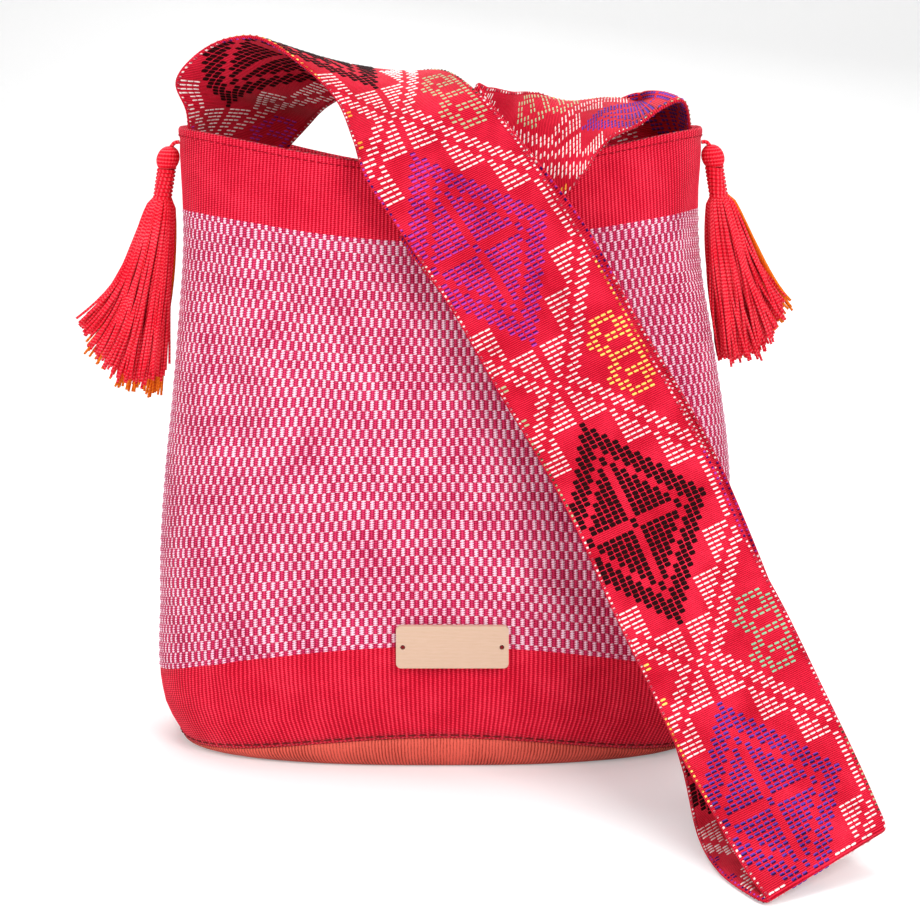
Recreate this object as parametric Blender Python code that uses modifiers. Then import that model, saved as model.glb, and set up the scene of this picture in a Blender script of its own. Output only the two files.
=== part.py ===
"""Woven shoulder bag in the Wayuu manner, standing stuffed on its base, with its strap folded down in front.

Metres, +Z up. The origin is the middle of the flat base, the bag's front faces -Y and the strap's loop
comes forward to the floor on the +X side. Every size below is in millimetres and goes through MM once.
"""

import math

import bpy
import numpy as np

MM = 0.001

# Body: widths run along X and depths along Y, from the base seam at level 0 to the rim at level 1
BASE_WIDTH = 254.0
HEEL_WIDTH = 266.0
BELLY_WIDTH = 266.0
SHOULDER_WIDTH = 238.0
MOUTH_WIDTH = 239.0
BASE_DEPTH = 132.0
HEEL_DEPTH = 142.0
BELLY_DEPTH = 150.0
SHOULDER_DEPTH = 104.0
MOUTH_DEPTH = 88.0
SECTION_LEVELS = (0.0, 0.06, 0.24, 0.85, 1.0)
RIM_HEIGHT = 287.0
FRONT_RIM_DIP = 15.0
REAR_RIM_DIP = 21.0
SEAM_HEIGHT = 2.6
SEAM_LIFT = 13.0
CLOTH = 1.6
CORNER_POWER = 2.6

# The cloth from the base seam up: a plain band, the check weave, a plain band with the turned hem
LOWER_BAND = 0.155
UPPER_BAND = 0.13
HEM = 0.014
HEM_SWELL = 0.7
CHECK_ROWS = 26
CHECK_COLUMNS = 72
RIB_RELIEF = 0.35
ROW_RELIEF = 0.45

# Base panel: a canvas disc whose edge is rolled up to the seam
FLAT_WIDTH = 228.0
FLAT_DEPTH = 114.0
SEAM_GAP = 0.3
BASE_CLOTH = 2.2

# Strap
STRAP_WIDTH = 66.0
STRAP_THICKNESS = 2.0
STRAP_SAMPLES = 2
STRAP_ACROSS = 6
DIAMOND_PITCH = 138.0
FIRST_DIAMOND = 98.5
DIAMOND_OFFSET = -9.2
DIAMOND_LENGTH = 92.0
DIAMOND_WIDTH = 68.0
DRAWN_STRAP_WIDTH = 66.0

# The strap's ends inside the mouth: cloth levels, and how far the near edge is from the side corner
SEWN_LEVELS = (0.885, 0.915, 0.95)
SEWN_START = -8.0
SEWN_GAP = 1.8

# Wooden tag
TAG_WIDTH = 50.0
TAG_HEIGHT = 19.5
TAG_THICKNESS = 2.6
TAG_CORNER = 2.2
TAG_HOLE = 2.2
TAG_HOLE_SPACING = 44.0
TAG_X = 5.6
TAG_Z = 61.5
TAG_CLEARANCE = 0.9
STITCH_THICKNESS = 1.4

# Tassels: each hangs from a cord at the side seam, two layers of strands under a knot and a wrapped neck
CORD_BELOW_RIM = 7.5
CORD_THICKNESS = 1.8
CORD_TO_KNOT = 0.5
TASSEL_BELOW_RIM = 11.5
TASSEL_OUT = 5.4
LEAN_OUT = 17.0
CURL_OUT = 6.0
KNOT_DIAMETER = 8.0
KNOT_CUT = 0.4
NECK_DIAMETER = 6.6
NECK_LENGTH = 15.0
NECK_TURNS = 5
SKIRT_LENGTH = 84.0
SKIRT_TOP = 9.0
SKIRT_WIDTH = 38.0
SKIRT_DEPTH = 23.0
UNDERSKIRT_LENGTH = 74.0
UNDERSKIRT_DROP = 5.0
UNDERSKIRT_WIDTH = 30.0
UNDERSKIRT_TOP = 3.0
UNDERSKIRT_DEPTH = 12.0
STRAND_FOLDS = 9
STRAND_RIPPLE = 0.08
PIECE_GAP = 0.3

RED = (0.76, 0.015, 0.035)
CRIMSON = (0.62, 0.012, 0.07)
PALE_PINK = (0.9, 0.62, 0.72)
RUST = (0.52, 0.10, 0.04)
PURPLE = (0.19, 0.06, 0.42)
DARK_BROWN = (0.07, 0.012, 0.012)
MAPLE = (0.80, 0.60, 0.38)
ORANGE = (0.86, 0.20, 0.02)
THREAD_BROWN = (0.10, 0.03, 0.02)


def cleared_scene():
    """Removes every object and returns the collections for the bag's parts and for the cutters."""
    for obj in list(bpy.data.objects):
        bpy.data.objects.remove(obj, do_unlink=True)
    collections = [bpy.data.collections.new(name) for name in ("wayuu_bag", "cutters")]
    for collection in collections:
        bpy.context.scene.collection.children.link(collection)
    return collections


def finish(name, colour, roughness=0.85):
    """A plain dielectric finish in one colour."""
    material = bpy.data.materials.new(name)
    material.use_nodes = True
    shader = material.node_tree.nodes["Principled BSDF"]
    shader.inputs["Base Color"].default_value = (*colour, 1.0)
    shader.inputs["Roughness"].default_value = roughness
    return material


def mesh_object(collection, name, points, faces, finishes, slots=None):
    """A mesh object from points in millimetres, with each face in the finish that slots names."""
    mesh = bpy.data.meshes.new(name)
    mesh.from_pydata((np.asarray(points) * MM).tolist(), [], faces)
    for material in finishes:
        mesh.materials.append(material)
    if slots is not None:
        mesh.polygons.foreach_set("material_index", slots)
    mesh.shade_smooth()
    mesh.update()
    obj = bpy.data.objects.new(name, mesh)
    collection.objects.link(obj)
    return obj


def thickened(obj, thickness):
    """Gives an open surface its cloth thickness, half to each side."""
    solid = obj.modifiers.new("Thickness", "SOLIDIFY")
    solid.thickness = thickness * MM
    solid.offset = 0
    solid.use_quality_normals = True
    return obj


def smooth_through(knots, at):
    """Cubic Hermite curve through (parameter, value) knots, flat where the values turn."""
    x = np.array([knot[0] for knot in knots])
    y = np.array([knot[1] for knot in knots])
    chord = np.diff(y) / np.diff(x)
    slope = np.concatenate([chord[:1], (chord[:-1] + chord[1:]) / 2, chord[-1:]])
    turning = np.concatenate([[False], chord[:-1] * chord[1:] <= 0, [False]])
    slope[turning] = 0
    span = np.clip(np.searchsorted(x, at, side="right") - 1, 0, len(x) - 2)
    width = x[span + 1] - x[span]
    t = (at - x[span]) / width
    rise = y[span + 1] - y[span]
    cubic = (slope[span] + slope[span + 1]) * width - 2 * rise
    square = 3 * rise - (2 * slope[span] + slope[span + 1]) * width
    return y[span] + t * (slope[span] * width + t * (square + t * cubic))


def section_size(level):
    """Half width and half depth of the bag at a level, 0 at the base seam and 1 at the rim."""
    widths = (BASE_WIDTH, HEEL_WIDTH, BELLY_WIDTH, SHOULDER_WIDTH, MOUTH_WIDTH)
    depths = (BASE_DEPTH, HEEL_DEPTH, BELLY_DEPTH, SHOULDER_DEPTH, MOUTH_DEPTH)
    width = smooth_through(list(zip(SECTION_LEVELS, widths)), level)
    depth = smooth_through(list(zip(SECTION_LEVELS, depths)), level)
    return width / 2, depth / 2


def even_ring(half_width, half_depth, count, power=CORNER_POWER):
    """Points spaced evenly along a superellipse, from its right end round by its rear."""
    turn = np.linspace(0, 2 * np.pi, 1441)
    x = half_width * np.sign(np.cos(turn)) * np.abs(np.cos(turn)) ** (2 / power)
    y = half_depth * np.sign(np.sin(turn)) * np.abs(np.sin(turn)) ** (2 / power)
    along = np.concatenate([[0], np.cumsum(np.hypot(np.diff(x), np.diff(y)))])
    at = np.arange(count) * along[-1] / count
    return np.stack([np.interp(at, along, x), np.interp(at, along, y)], axis=1)


def cloth_height(level, x, y, half_width):
    """Height of the cloth: the rim dips between the strap's ends and the base seam lifts in the middle."""
    middle = np.clip(1 - (x / half_width) ** 2, 0, 1) ** 1.6
    dip = np.where(y < 0, FRONT_RIM_DIP, REAR_RIM_DIP)
    low = SEAM_HEIGHT + SEAM_LIFT * middle
    high = RIM_HEIGHT - dip * middle
    return low + level * (high - low)


def wall_ring(level, count, out=0.0):
    """One closed row of the cloth, pushed outwards by out, which may vary round the row."""
    half_width, half_depth = section_size(level)
    ring = even_ring(half_width, half_depth, count)
    step = np.roll(ring, -1, axis=0) - np.roll(ring, 1, axis=0)
    normal = np.stack([step[:, 1], -step[:, 0]], axis=1) / np.linalg.norm(step, axis=1)[:, None]
    height = cloth_height(level, ring[:, 0], ring[:, 1], half_width)
    moved = ring + normal * np.broadcast_to(out, count)[:, None]
    return np.column_stack([moved, height])


def front_wall_y(x, z):
    """Y of the front wall's outer face at a place, found along the cloth's levels."""
    levels = np.linspace(0, 1, 201)
    half_width, half_depth = section_size(levels)
    y = -half_depth * np.clip(1 - np.abs(x / half_width) ** CORNER_POWER, 0, 1) ** (1 / CORNER_POWER)
    height = cloth_height(levels, x, y, half_width)
    return float(np.interp(z, height, y))


def loft(collection, name, rings, finishes, around=False, slots=None):
    """A closed solid through rings of equal count, listed bottom first.

    With around set, the last ring joins the first, as in a tube with a wall. Otherwise both ends are capped.
    """
    count = len(rings[0])
    faces = []
    for ring in range(len(rings) if around else len(rings) - 1):
        low = ring * count
        high = (ring + 1) % len(rings) * count
        for step in range(count):
            ahead = (step + 1) % count
            faces.append((low + step, low + ahead, high + ahead, high + step))
    if not around:
        faces.append(tuple(reversed(range(count))))
        faces.append(tuple((len(rings) - 1) * count + step for step in range(count)))
    if slots is not None:
        slots = slots + [0] * (len(faces) - len(slots))
    return mesh_object(collection, name, np.concatenate(rings), faces, finishes, slots)


def woven_body(collection):
    """The tube of cloth: ribbed bands, the check weave as ridged rows of two colours, and the turned hem."""
    check_top = 1 - UPPER_BAND
    hem_low = 1 - HEM
    rib = RIB_RELIEF * (np.arange(CHECK_COLUMNS) % 2)
    rows = [(level, rib) for level in (0.0, 0.025, LOWER_BAND * 0.5)]
    first_check = len(rows)
    for row in range(CHECK_ROWS + 1):
        rows.append((LOWER_BAND + (check_top - LOWER_BAND) * row / CHECK_ROWS, ROW_RELIEF * (row % 2)))
    rows += [((check_top + hem_low) / 2, rib), (hem_low, rib)]
    rows += [(hem_low + HEM * 0.25, HEM_SWELL), (hem_low + HEM * 0.8, HEM_SWELL), (1.0, 0.0)]
    inside = [(level, -CLOTH) for level in (1.0, 0.85, 0.65, 0.45, 0.24, 0.12, 0.05, 0.0)]
    rings = [wall_ring(level, CHECK_COLUMNS, out) for level, out in rows + inside]
    slots = [0] * (first_check * CHECK_COLUMNS)
    for row in range(CHECK_ROWS):
        slots += [1 + (row + column) % 2 for column in range(CHECK_COLUMNS)]
    finishes = [finish("red_cloth", RED), finish("crimson_cloth", CRIMSON), finish("pale_cloth", PALE_PINK)]
    return loft(collection, "woven_body", rings, finishes, around=True, slots=slots)


def base_panel(collection):
    """The canvas base: flat where it stands, its edge rolled up to meet the body's lower seam."""
    count = CHECK_COLUMNS
    flat = even_ring(FLAT_WIDTH / 2, FLAT_DEPTH / 2, count)
    rings = [np.column_stack([flat * 0.5, np.zeros(count)]), np.column_stack([flat, np.zeros(count)])]
    for inset, turns in ((0.0, (0.35, 0.7, 1.0)), (CLOTH, (1.0, 0.6, 0.2))):
        seam = wall_ring(0.0, count, -inset)
        seam[:, 2] -= SEAM_GAP
        floor = inset / CLOTH * BASE_CLOTH
        for turn in turns:
            out = math.sin(turn * math.pi / 2)
            up = 1 - math.cos(turn * math.pi / 2)
            place = flat + (seam[:, :2] - flat) * out
            rings.append(np.column_stack([place, floor + np.maximum(seam[:, 2] - floor, 0) * up]))
    rings.append(np.column_stack([flat * 0.5, np.full(count, BASE_CLOTH)]))
    return loft(collection, "base_panel", rings, [finish("rust_canvas", RUST)])


# The strap's route between its sewn ends, chosen for a bag whose mouth is as wide, as deep and as high as
# the first line says: where its near or left edge and its far or right edge lie, and how far its middle
# bows out. It rises from the left end, goes over the arch and down the front to the loop on the floor,
# comes back up behind itself, folds over, and crosses the mouth to the right end.
ROUTE_DRAWN_FOR = (239.0, 88.0, 287.0)
STRAP_ROUTE = (
    ((-115, -11, 294), (-62, 24, 286), 8),
    ((-119, -17, 307), (-54, 12, 294), 4),
    ((-111, -22, 318), (-46, 7, 299), 2),
    ((-97, -27, 326), (-37, 6, 303), 1),
    ((-80, -31, 327), (-25, 5, 306), 0),
    ((-62, -37, 316), (-11, -6, 311), 0),
    ((-46, -44, 301), (4, -33, 312), 0),
    ((-38, -54, 284), (17, -59, 304), 0),
    ((-32, -62, 267), (28, -65, 292), 0),
    ((-17, -70, 245), (41, -68, 275), 0),
    ((5, -75, 212), (63, -67, 242), 0),
    ((26, -83, 176), (85, -71, 204), 0),
    ((44, -91, 147), (103, -79, 174), 0),
    ((59, -102, 120), (119, -89, 145), 0),
    ((74, -118, 88), (133, -108, 115), 0),
    ((87, -139, 63), (146, -131, 91), 0),
    ((99, -166, 40), (158, -151, 66), 0),
    ((111, -193, 22), (169, -170, 43), 0),
    ((121, -215, 8), (176, -183, 27), 0),
    ((127, -228, 2.4), (179, -190, 18), 0),
    ((122, -222, 1.4), (174, -184, 16), 0),
    ((112, -196, 1.4), (166, -162, 18), 0),
    ((107, -160, 4), (162, -130, 26), 0),
    ((104, -122, 20), (161, -101, 46), 0),
    ((95, -98, 46), (152, -82, 75), 0),
    ((80, -86, 80), (139, -76, 108), 0),
    ((63, -81, 116), (124, -73, 142), 0),
    ((46, -78, 148), (108, -71, 172), 0),
    ((26, -74, 180), (87, -65, 206), 0),
    ((5, -69, 212), (62, -60, 250), 0),
    ((-15, -63, 238), (20, -55, 303), 0),
    ((-12, -57, 240), (22, -49, 306), 0),
    ((22, -55, 244), (32, -42, 304), 0),
    ((42, -53, 251), (42, -22, 303), 9),
    ((58, -54, 262), (58, -6, 298), 13),
    ((73, -49, 282), (76, 12, 299), 4),
    ((88, -36, 289), (89, 24, 298), 1),
    ((101, -27, 297), (92, 32, 296), 2),
    ((111, -17, 297), (79, 31, 294), 6),
)


def through_points(points, samples):
    """Catmull-Rom curve through the points, with as many steps in each span."""
    points = np.asarray(points, float)
    ends = np.concatenate([[2 * points[0] - points[1]], points, [2 * points[-1] - points[-2]]])
    placed = []
    for span in range(len(points) - 1):
        before, start, end, after = ends[span : span + 4]
        for t in np.arange(samples) / samples:
            placed.append(
                0.5
                * (
                    2 * start
                    + (end - before) * t
                    + (2 * before - 5 * start + 4 * end - after) * t**2
                    + (3 * start - before - 3 * end + after) * t**3
                )
            )
    placed.append(points[-1])
    return np.array(placed)


def on_this_bag(points):
    """Carries the drawn route to the bag's own sizes, so that the strap follows a changed bag."""
    sizes = np.array((MOUTH_WIDTH, MOUTH_DEPTH, RIM_HEIGHT))
    return np.asarray(points, float) * sizes / ROUTE_DRAWN_FOR


def sewn_row(side, level):
    """One row of the strap's end, laid against the inside of the mouth from its corner towards the rear."""
    ring = wall_ring(level, 720, -(CLOTH + SEWN_GAP + STRAP_THICKNESS / 2))
    step = np.linalg.norm(ring[1] - ring[0])
    along = (SEWN_START + STRAP_WIDTH * np.arange(STRAP_ACROSS + 1) / STRAP_ACROSS) / step
    index = np.round(along if side > 0 else len(ring) / 2 - along).astype(int)
    return ring[index % len(ring)]


def free_row(near, far, bow, along):
    """One row of the strap between its edges, bowed out square to the way that it runs."""
    near, far = np.asarray(near, float), np.asarray(far, float)
    middle = (near + far) / 2
    half = (far - near) / 2 * STRAP_WIDTH / DRAWN_STRAP_WIDTH
    outward = np.cross(along, half)
    outward /= np.linalg.norm(outward)
    across = np.linspace(-1, 1, STRAP_ACROSS + 1)
    return np.array([middle + half * t + outward * bow * (1 - t * t) for t in across])


def strap_surface():
    """The strap's middle surface as rows of points from edge to edge, one row per step along it."""
    near = on_this_bag([station[0] for station in STRAP_ROUTE])
    far = on_this_bag([station[1] for station in STRAP_ROUTE])
    along = np.gradient((near + far) / 2, axis=0)
    rows = [sewn_row(-1, level) for level in SEWN_LEVELS]
    for station, left, right, way in zip(STRAP_ROUTE, near, far, along):
        rows.append(free_row(left, right, station[2], way))
    rows += [sewn_row(1, level) for level in reversed(SEWN_LEVELS)]
    columns = np.array(rows).swapaxes(0, 1)
    return np.stack([through_points(column, STRAP_SAMPLES) for column in columns], axis=1)


def diamond_slot(along, across):
    """Colour of a place on the strap: 0 for the red ground, then purple and dark by turns of the diamonds."""
    number = math.floor((along - FIRST_DIAMOND) / DIAMOND_PITCH + 0.5)
    off = abs(along - FIRST_DIAMOND - number * DIAMOND_PITCH)
    if off / (DIAMOND_LENGTH / 2) + abs(across - DIAMOND_OFFSET) / (DIAMOND_WIDTH / 2) > 1:
        return 0
    return 1 + (number + 1) % 2


def shoulder_strap(collection):
    """The double-woven strap, one band with its diamonds as fields of colour."""
    surface = strap_surface()
    steps, wide = surface.shape[:2]
    middle = surface[:, wide // 2]
    along = np.concatenate([[0], np.cumsum(np.linalg.norm(np.diff(middle, axis=0), axis=1))])
    faces = []
    slots = []
    for step in range(steps - 1):
        for column in range(wide - 1):
            low = step * wide + column
            faces.append((low, low + wide, low + wide + 1, low + 1))
            across = ((column + 0.5) / (wide - 1) - 0.5) * STRAP_WIDTH
            slots.append(diamond_slot((along[step] + along[step + 1]) / 2, across))
    finishes = [finish("red_strap", RED), finish("purple_strap", PURPLE), finish("dark_strap", DARK_BROWN)]
    strap = mesh_object(collection, "shoulder_strap", surface.reshape(-1, 3), faces, finishes, slots)
    return thickened(strap, STRAP_THICKNESS)


def tag_place():
    """The tag's middle on the front wall and its turn about X that lays it along the wall."""
    low = front_wall_y(TAG_X, TAG_Z - TAG_HEIGHT / 2)
    high = front_wall_y(TAG_X, TAG_Z + TAG_HEIGHT / 2)
    slope = (high - low) / TAG_HEIGHT
    nearest = min(
        front_wall_y(TAG_X + x, TAG_Z + z) - z * slope
        for x in np.linspace(-TAG_WIDTH / 2, TAG_WIDTH / 2, 5)
        for z in np.linspace(-TAG_HEIGHT / 2, TAG_HEIGHT / 2, 5)
    )
    y = nearest - (ROW_RELIEF + TAG_CLEARANCE + TAG_THICKNESS / 2) * math.hypot(1, slope)
    return np.array([TAG_X, y, TAG_Z]), -math.atan(slope)


def rounded_rectangle(width, height, corner, per_corner=5):
    """Points round a rectangle with round corners."""
    points = []
    for quarter, (sx, sy) in enumerate(((1, 1), (-1, 1), (-1, -1), (1, -1))):
        for step in range(per_corner + 1):
            turn = (quarter + step / per_corner) * math.pi / 2
            x = sx * (width / 2 - corner) + corner * math.cos(turn)
            y = sy * (height / 2 - corner) + corner * math.sin(turn)
            points.append((x, y))
    return points


def upright_cylinder(name, radius, depth, location, rotation, vertices=14):
    """A cylinder primitive, its sizes in millimetres, turned to lie along the tag's thickness."""
    bpy.ops.mesh.primitive_cylinder_add(
        vertices=vertices,
        radius=radius * MM,
        depth=depth * MM,
        location=[value * MM for value in location],
        rotation=rotation,
    )
    cylinder = bpy.context.object
    cylinder.name = name
    for owner in list(cylinder.users_collection):
        owner.objects.unlink(cylinder)
    return cylinder


def wood_tag(collection, cutters):
    """The bare wooden tag, a rounded plate with a hole near each end."""
    outline = rounded_rectangle(TAG_WIDTH, TAG_HEIGHT, TAG_CORNER)
    rings = [[(x, y, z) for x, y in outline] for z in (-TAG_THICKNESS / 2, TAG_THICKNESS / 2)]
    tag = loft(collection, "wood_tag", rings, [finish("maple", MAPLE, 0.55)])
    tag.data.shade_flat()
    place, lean = tag_place()
    tag.location = place * MM
    tag.rotation_euler = (math.pi / 2 + lean, 0, 0)
    for side_name, side in (("left", -1), ("right", 1)):
        centre = (TAG_X + side * TAG_HOLE_SPACING / 2, place[1], place[2])
        drill = upright_cylinder(
            f"{side_name}_tag_drill", TAG_HOLE / 2, TAG_THICKNESS * 3, centre, tag.rotation_euler
        )
        cutters.objects.link(drill)
        drill.hide_render = True
        drill.display_type = "WIRE"
        hole = tag.modifiers.new(f"{side_name} hole", "BOOLEAN")
        hole.object = drill
        hole.operation = "DIFFERENCE"
    return tag


def tag_stitch(collection, side_name, side):
    """The thread through one of the tag's holes, from the cloth to just under the tag's face."""
    place, lean = tag_place()
    x = TAG_X + side * TAG_HOLE_SPACING / 2
    back = front_wall_y(x, TAG_Z) - ROW_RELIEF - PIECE_GAP
    front = place[1] - TAG_THICKNESS / 2 + PIECE_GAP
    name = f"{side_name}_tag_stitch"
    centre = (x, (back + front) / 2, TAG_Z)
    turned = (math.pi / 2 + lean, 0, 0)
    stitch = upright_cylinder(name, STITCH_THICKNESS / 2, back - front, centre, turned, 10)
    stitch.data.materials.append(finish(name, THREAD_BROWN))
    collection.objects.link(stitch)
    return stitch


def side_wall_x(z):
    """Half width of the bag at a height of its side."""
    level = (z - SEAM_HEIGHT) / (RIM_HEIGHT - SEAM_HEIGHT)
    return float(section_size(level)[0])


def skirt_size(share):
    """Half width and half depth of the outer strands at a share of their length."""
    half_width = (SKIRT_TOP + (SKIRT_WIDTH - SKIRT_TOP) * share**0.8) / 2
    half_depth = (SKIRT_TOP + (SKIRT_DEPTH - SKIRT_TOP) * share**0.6) / 2
    return half_width, half_depth


def tassel_reach(drop):
    """How far the tassel stands out from the wall at its knot, at a drop below its cord."""
    share = drop / (KNOT_DIAMETER + NECK_LENGTH + SKIRT_LENGTH)
    return TASSEL_OUT + LEAN_OUT * share + CURL_OUT * share**2


def tassel_root():
    """X of the wall that the tassel is set out from, further out where the wall would touch its strands."""
    top = RIM_HEIGHT - TASSEL_BELOW_RIM
    root = side_wall_x(top)
    for drop in np.linspace(0, KNOT_DIAMETER + NECK_LENGTH + SKIRT_LENGTH, 25):
        share = (drop - KNOT_DIAMETER - NECK_LENGTH) / SKIRT_LENGTH
        half_width = skirt_size(share)[0] * (1 + STRAND_RIPPLE) if share > 0 else KNOT_DIAMETER / 2
        wall = side_wall_x(top - drop) + ROW_RELIEF + PIECE_GAP
        root = max(root, wall + half_width - tassel_reach(drop))
    return root


def tassel_axis(side, drop):
    """Middle of the tassel at a drop below its cord, leaning out over the bag's shoulder."""
    return np.array([side * (tassel_root() + tassel_reach(drop)), 0.0, RIM_HEIGHT - TASSEL_BELOW_RIM - drop])


def tassel_ring(side, drop, half_width, half_depth, count, ripple=0.0, shift=(0.0, 0.0)):
    """One level ring of the tassel; ripple folds it into strands."""
    turns = np.arange(count) * 2 * np.pi / count
    radius = 1 + ripple * np.where(np.arange(count) % 2 == 0, 1, -1)
    centre = tassel_axis(side, drop)
    x = centre[0] + side * shift[0] + half_width * radius * np.cos(turns)
    y = centre[1] + shift[1] + half_depth * radius * np.sin(turns)
    return np.column_stack([x, y, np.full(count, centre[2])])


def tassel_cord(collection, side_name, side):
    """The short cord that the tassel hangs from, out of the side seam under the hem and down to the knot."""
    wall = side_wall_x(RIM_HEIGHT - CORD_BELOW_RIM) + RIB_RELIEF + PIECE_GAP
    knot = tassel_axis(side, 0.0)
    knot_top = knot[2] - KNOT_DIAMETER / 2 * (1 - math.cos(KNOT_CUT)) + CORD_TO_KNOT
    seam = (side * wall, 0.0, RIM_HEIGHT - CORD_BELOW_RIM)
    bend = (knot[0], 0.0, seam[2] + CORD_THICKNESS / 4)
    curve = bpy.data.curves.new(f"{side_name}_tassel_cord", "CURVE")
    curve.dimensions = "3D"
    curve.bevel_depth = CORD_THICKNESS / 2 * MM
    curve.bevel_resolution = 2
    curve.use_fill_caps = True
    spline = curve.splines.new("POLY")
    steps = 8
    spline.points.add(steps)
    for step, point in enumerate(spline.points):
        t = step / steps
        ends = (1 - t) ** 2 * np.array(seam) + t**2 * np.array((knot[0], 0.0, knot_top))
        point.co = (*((ends + 2 * t * (1 - t) * np.array(bend)) * MM), 1)
    curve.materials.append(finish(f"{side_name}_tassel_cord", RED))
    cord = bpy.data.objects.new(f"{side_name}_tassel_cord", curve)
    collection.objects.link(cord)
    return cord


def tassel(collection, side_name, side):
    """One tassel: its cord from the side seam, its knot and wrapped neck, and its two layers of strands."""
    tassel_cord(collection, side_name, side)
    neck_end = KNOT_DIAMETER + NECK_LENGTH
    knot_rings = []
    for step in range(6):
        turn = KNOT_CUT + (math.pi - 2 * KNOT_CUT) * step / 5
        radius = KNOT_DIAMETER / 2 * math.sin(turn)
        drop = (KNOT_DIAMETER / 2) * (1 - math.cos(turn))
        knot_rings.append(tassel_ring(side, drop, radius, radius, 12))
    knot_end = KNOT_DIAMETER / 2 * (1 + math.cos(KNOT_CUT))
    knot = f"{side_name}_tassel_knot"
    loft(collection, knot, knot_rings[::-1], [finish(knot, RED)])
    wrap_top = knot_end + PIECE_GAP
    wrap_end = neck_end - PIECE_GAP
    neck_rings = []
    for step in range(2 * NECK_TURNS + 1):
        radius = NECK_DIAMETER / 2 * (1.0 if step % 2 else 0.88)
        drop = wrap_top + (wrap_end - wrap_top) * step / (2 * NECK_TURNS)
        neck_rings.append(tassel_ring(side, drop, radius, radius, 12))
    wrap = f"{side_name}_tassel_wrap"
    loft(collection, wrap, neck_rings[::-1], [finish(wrap, RED)])
    skirt_rings = []
    for share in (0.0, 0.08, 0.25, 0.5, 0.75, 1.0):
        ripple = STRAND_RIPPLE * min(1.0, share * 4)
        drop = neck_end + SKIRT_LENGTH * share
        skirt_rings.append(tassel_ring(side, drop, *skirt_size(share), 2 * STRAND_FOLDS, ripple))
    strands = f"{side_name}_tassel_strands"
    loft(collection, strands, skirt_rings[::-1], [finish(strands, RED)])
    under_rings = []
    start = SKIRT_LENGTH - UNDERSKIRT_LENGTH
    for share in (0.0, 0.3, 0.65, 1.0):
        half_width = (SKIRT_TOP + (UNDERSKIRT_WIDTH - SKIRT_TOP) * share**0.8) / 2
        half_depth = (UNDERSKIRT_TOP + (UNDERSKIRT_DEPTH - UNDERSKIRT_TOP) * share) / 2
        along = start + (UNDERSKIRT_LENGTH + UNDERSKIRT_DROP) * share
        before = skirt_size(min(1.0, along / SKIRT_LENGTH))[1]
        back = (before + half_depth) * (1 + STRAND_RIPPLE) + PIECE_GAP
        under_rings.append(
            tassel_ring(
                side, neck_end + along, half_width, half_depth, 2 * STRAND_FOLDS, STRAND_RIPPLE, (0.0, back)
            )
        )
    under = f"{side_name}_tassel_understrands"
    loft(collection, under, under_rings[::-1], [finish(under, ORANGE)])


def main():
    collection, cutters = cleared_scene()
    woven_body(collection)
    base_panel(collection)
    shoulder_strap(collection)
    wood_tag(collection, cutters)
    for side_name, side in (("left", -1), ("right", 1)):
        tag_stitch(collection, side_name, side)
        tassel(collection, side_name, side)


main()
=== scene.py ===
"""Looks of a woven shoulder bag that stands filled on its canvas base, its strap folded down in front.

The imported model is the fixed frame. Each class below makes one part of the bag as it looks: the woven
cloth, the canvas base, the patterned strap, the wooden tag and the two tassels. Sizes inside the classes
are in millimetres and go through MM once, when a mesh is made.
"""

from __future__ import annotations

import logging
import math
from dataclasses import dataclass
from enum import Enum

import bpy
import numpy as np
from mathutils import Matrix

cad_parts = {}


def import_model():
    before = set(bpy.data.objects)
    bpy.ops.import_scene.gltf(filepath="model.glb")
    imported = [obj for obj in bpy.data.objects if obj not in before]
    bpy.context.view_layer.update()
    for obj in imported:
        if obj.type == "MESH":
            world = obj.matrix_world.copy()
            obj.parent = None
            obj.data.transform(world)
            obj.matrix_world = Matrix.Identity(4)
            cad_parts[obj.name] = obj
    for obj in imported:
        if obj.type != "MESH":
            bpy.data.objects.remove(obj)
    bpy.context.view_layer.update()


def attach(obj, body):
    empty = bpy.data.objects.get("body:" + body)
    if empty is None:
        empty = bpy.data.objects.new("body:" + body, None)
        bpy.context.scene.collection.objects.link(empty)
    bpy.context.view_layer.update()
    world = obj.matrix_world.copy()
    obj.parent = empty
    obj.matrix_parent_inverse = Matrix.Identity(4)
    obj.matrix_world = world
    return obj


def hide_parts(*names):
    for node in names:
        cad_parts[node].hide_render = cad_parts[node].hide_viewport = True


MM = 0.001
BAG_BODY = "bag"
LOG = logging.getLogger("woven_bag")

Colour = tuple[float, float, float]
Socket = bpy.types.NodeSocket


class Side(Enum):
    """A side of the bag, as the sign of X there."""

    LEFT = -1
    RIGHT = 1

    @property
    def word(self) -> str:
        """The side's name as the frame's nodes and bodies spell it."""
        return self.name.lower()


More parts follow.
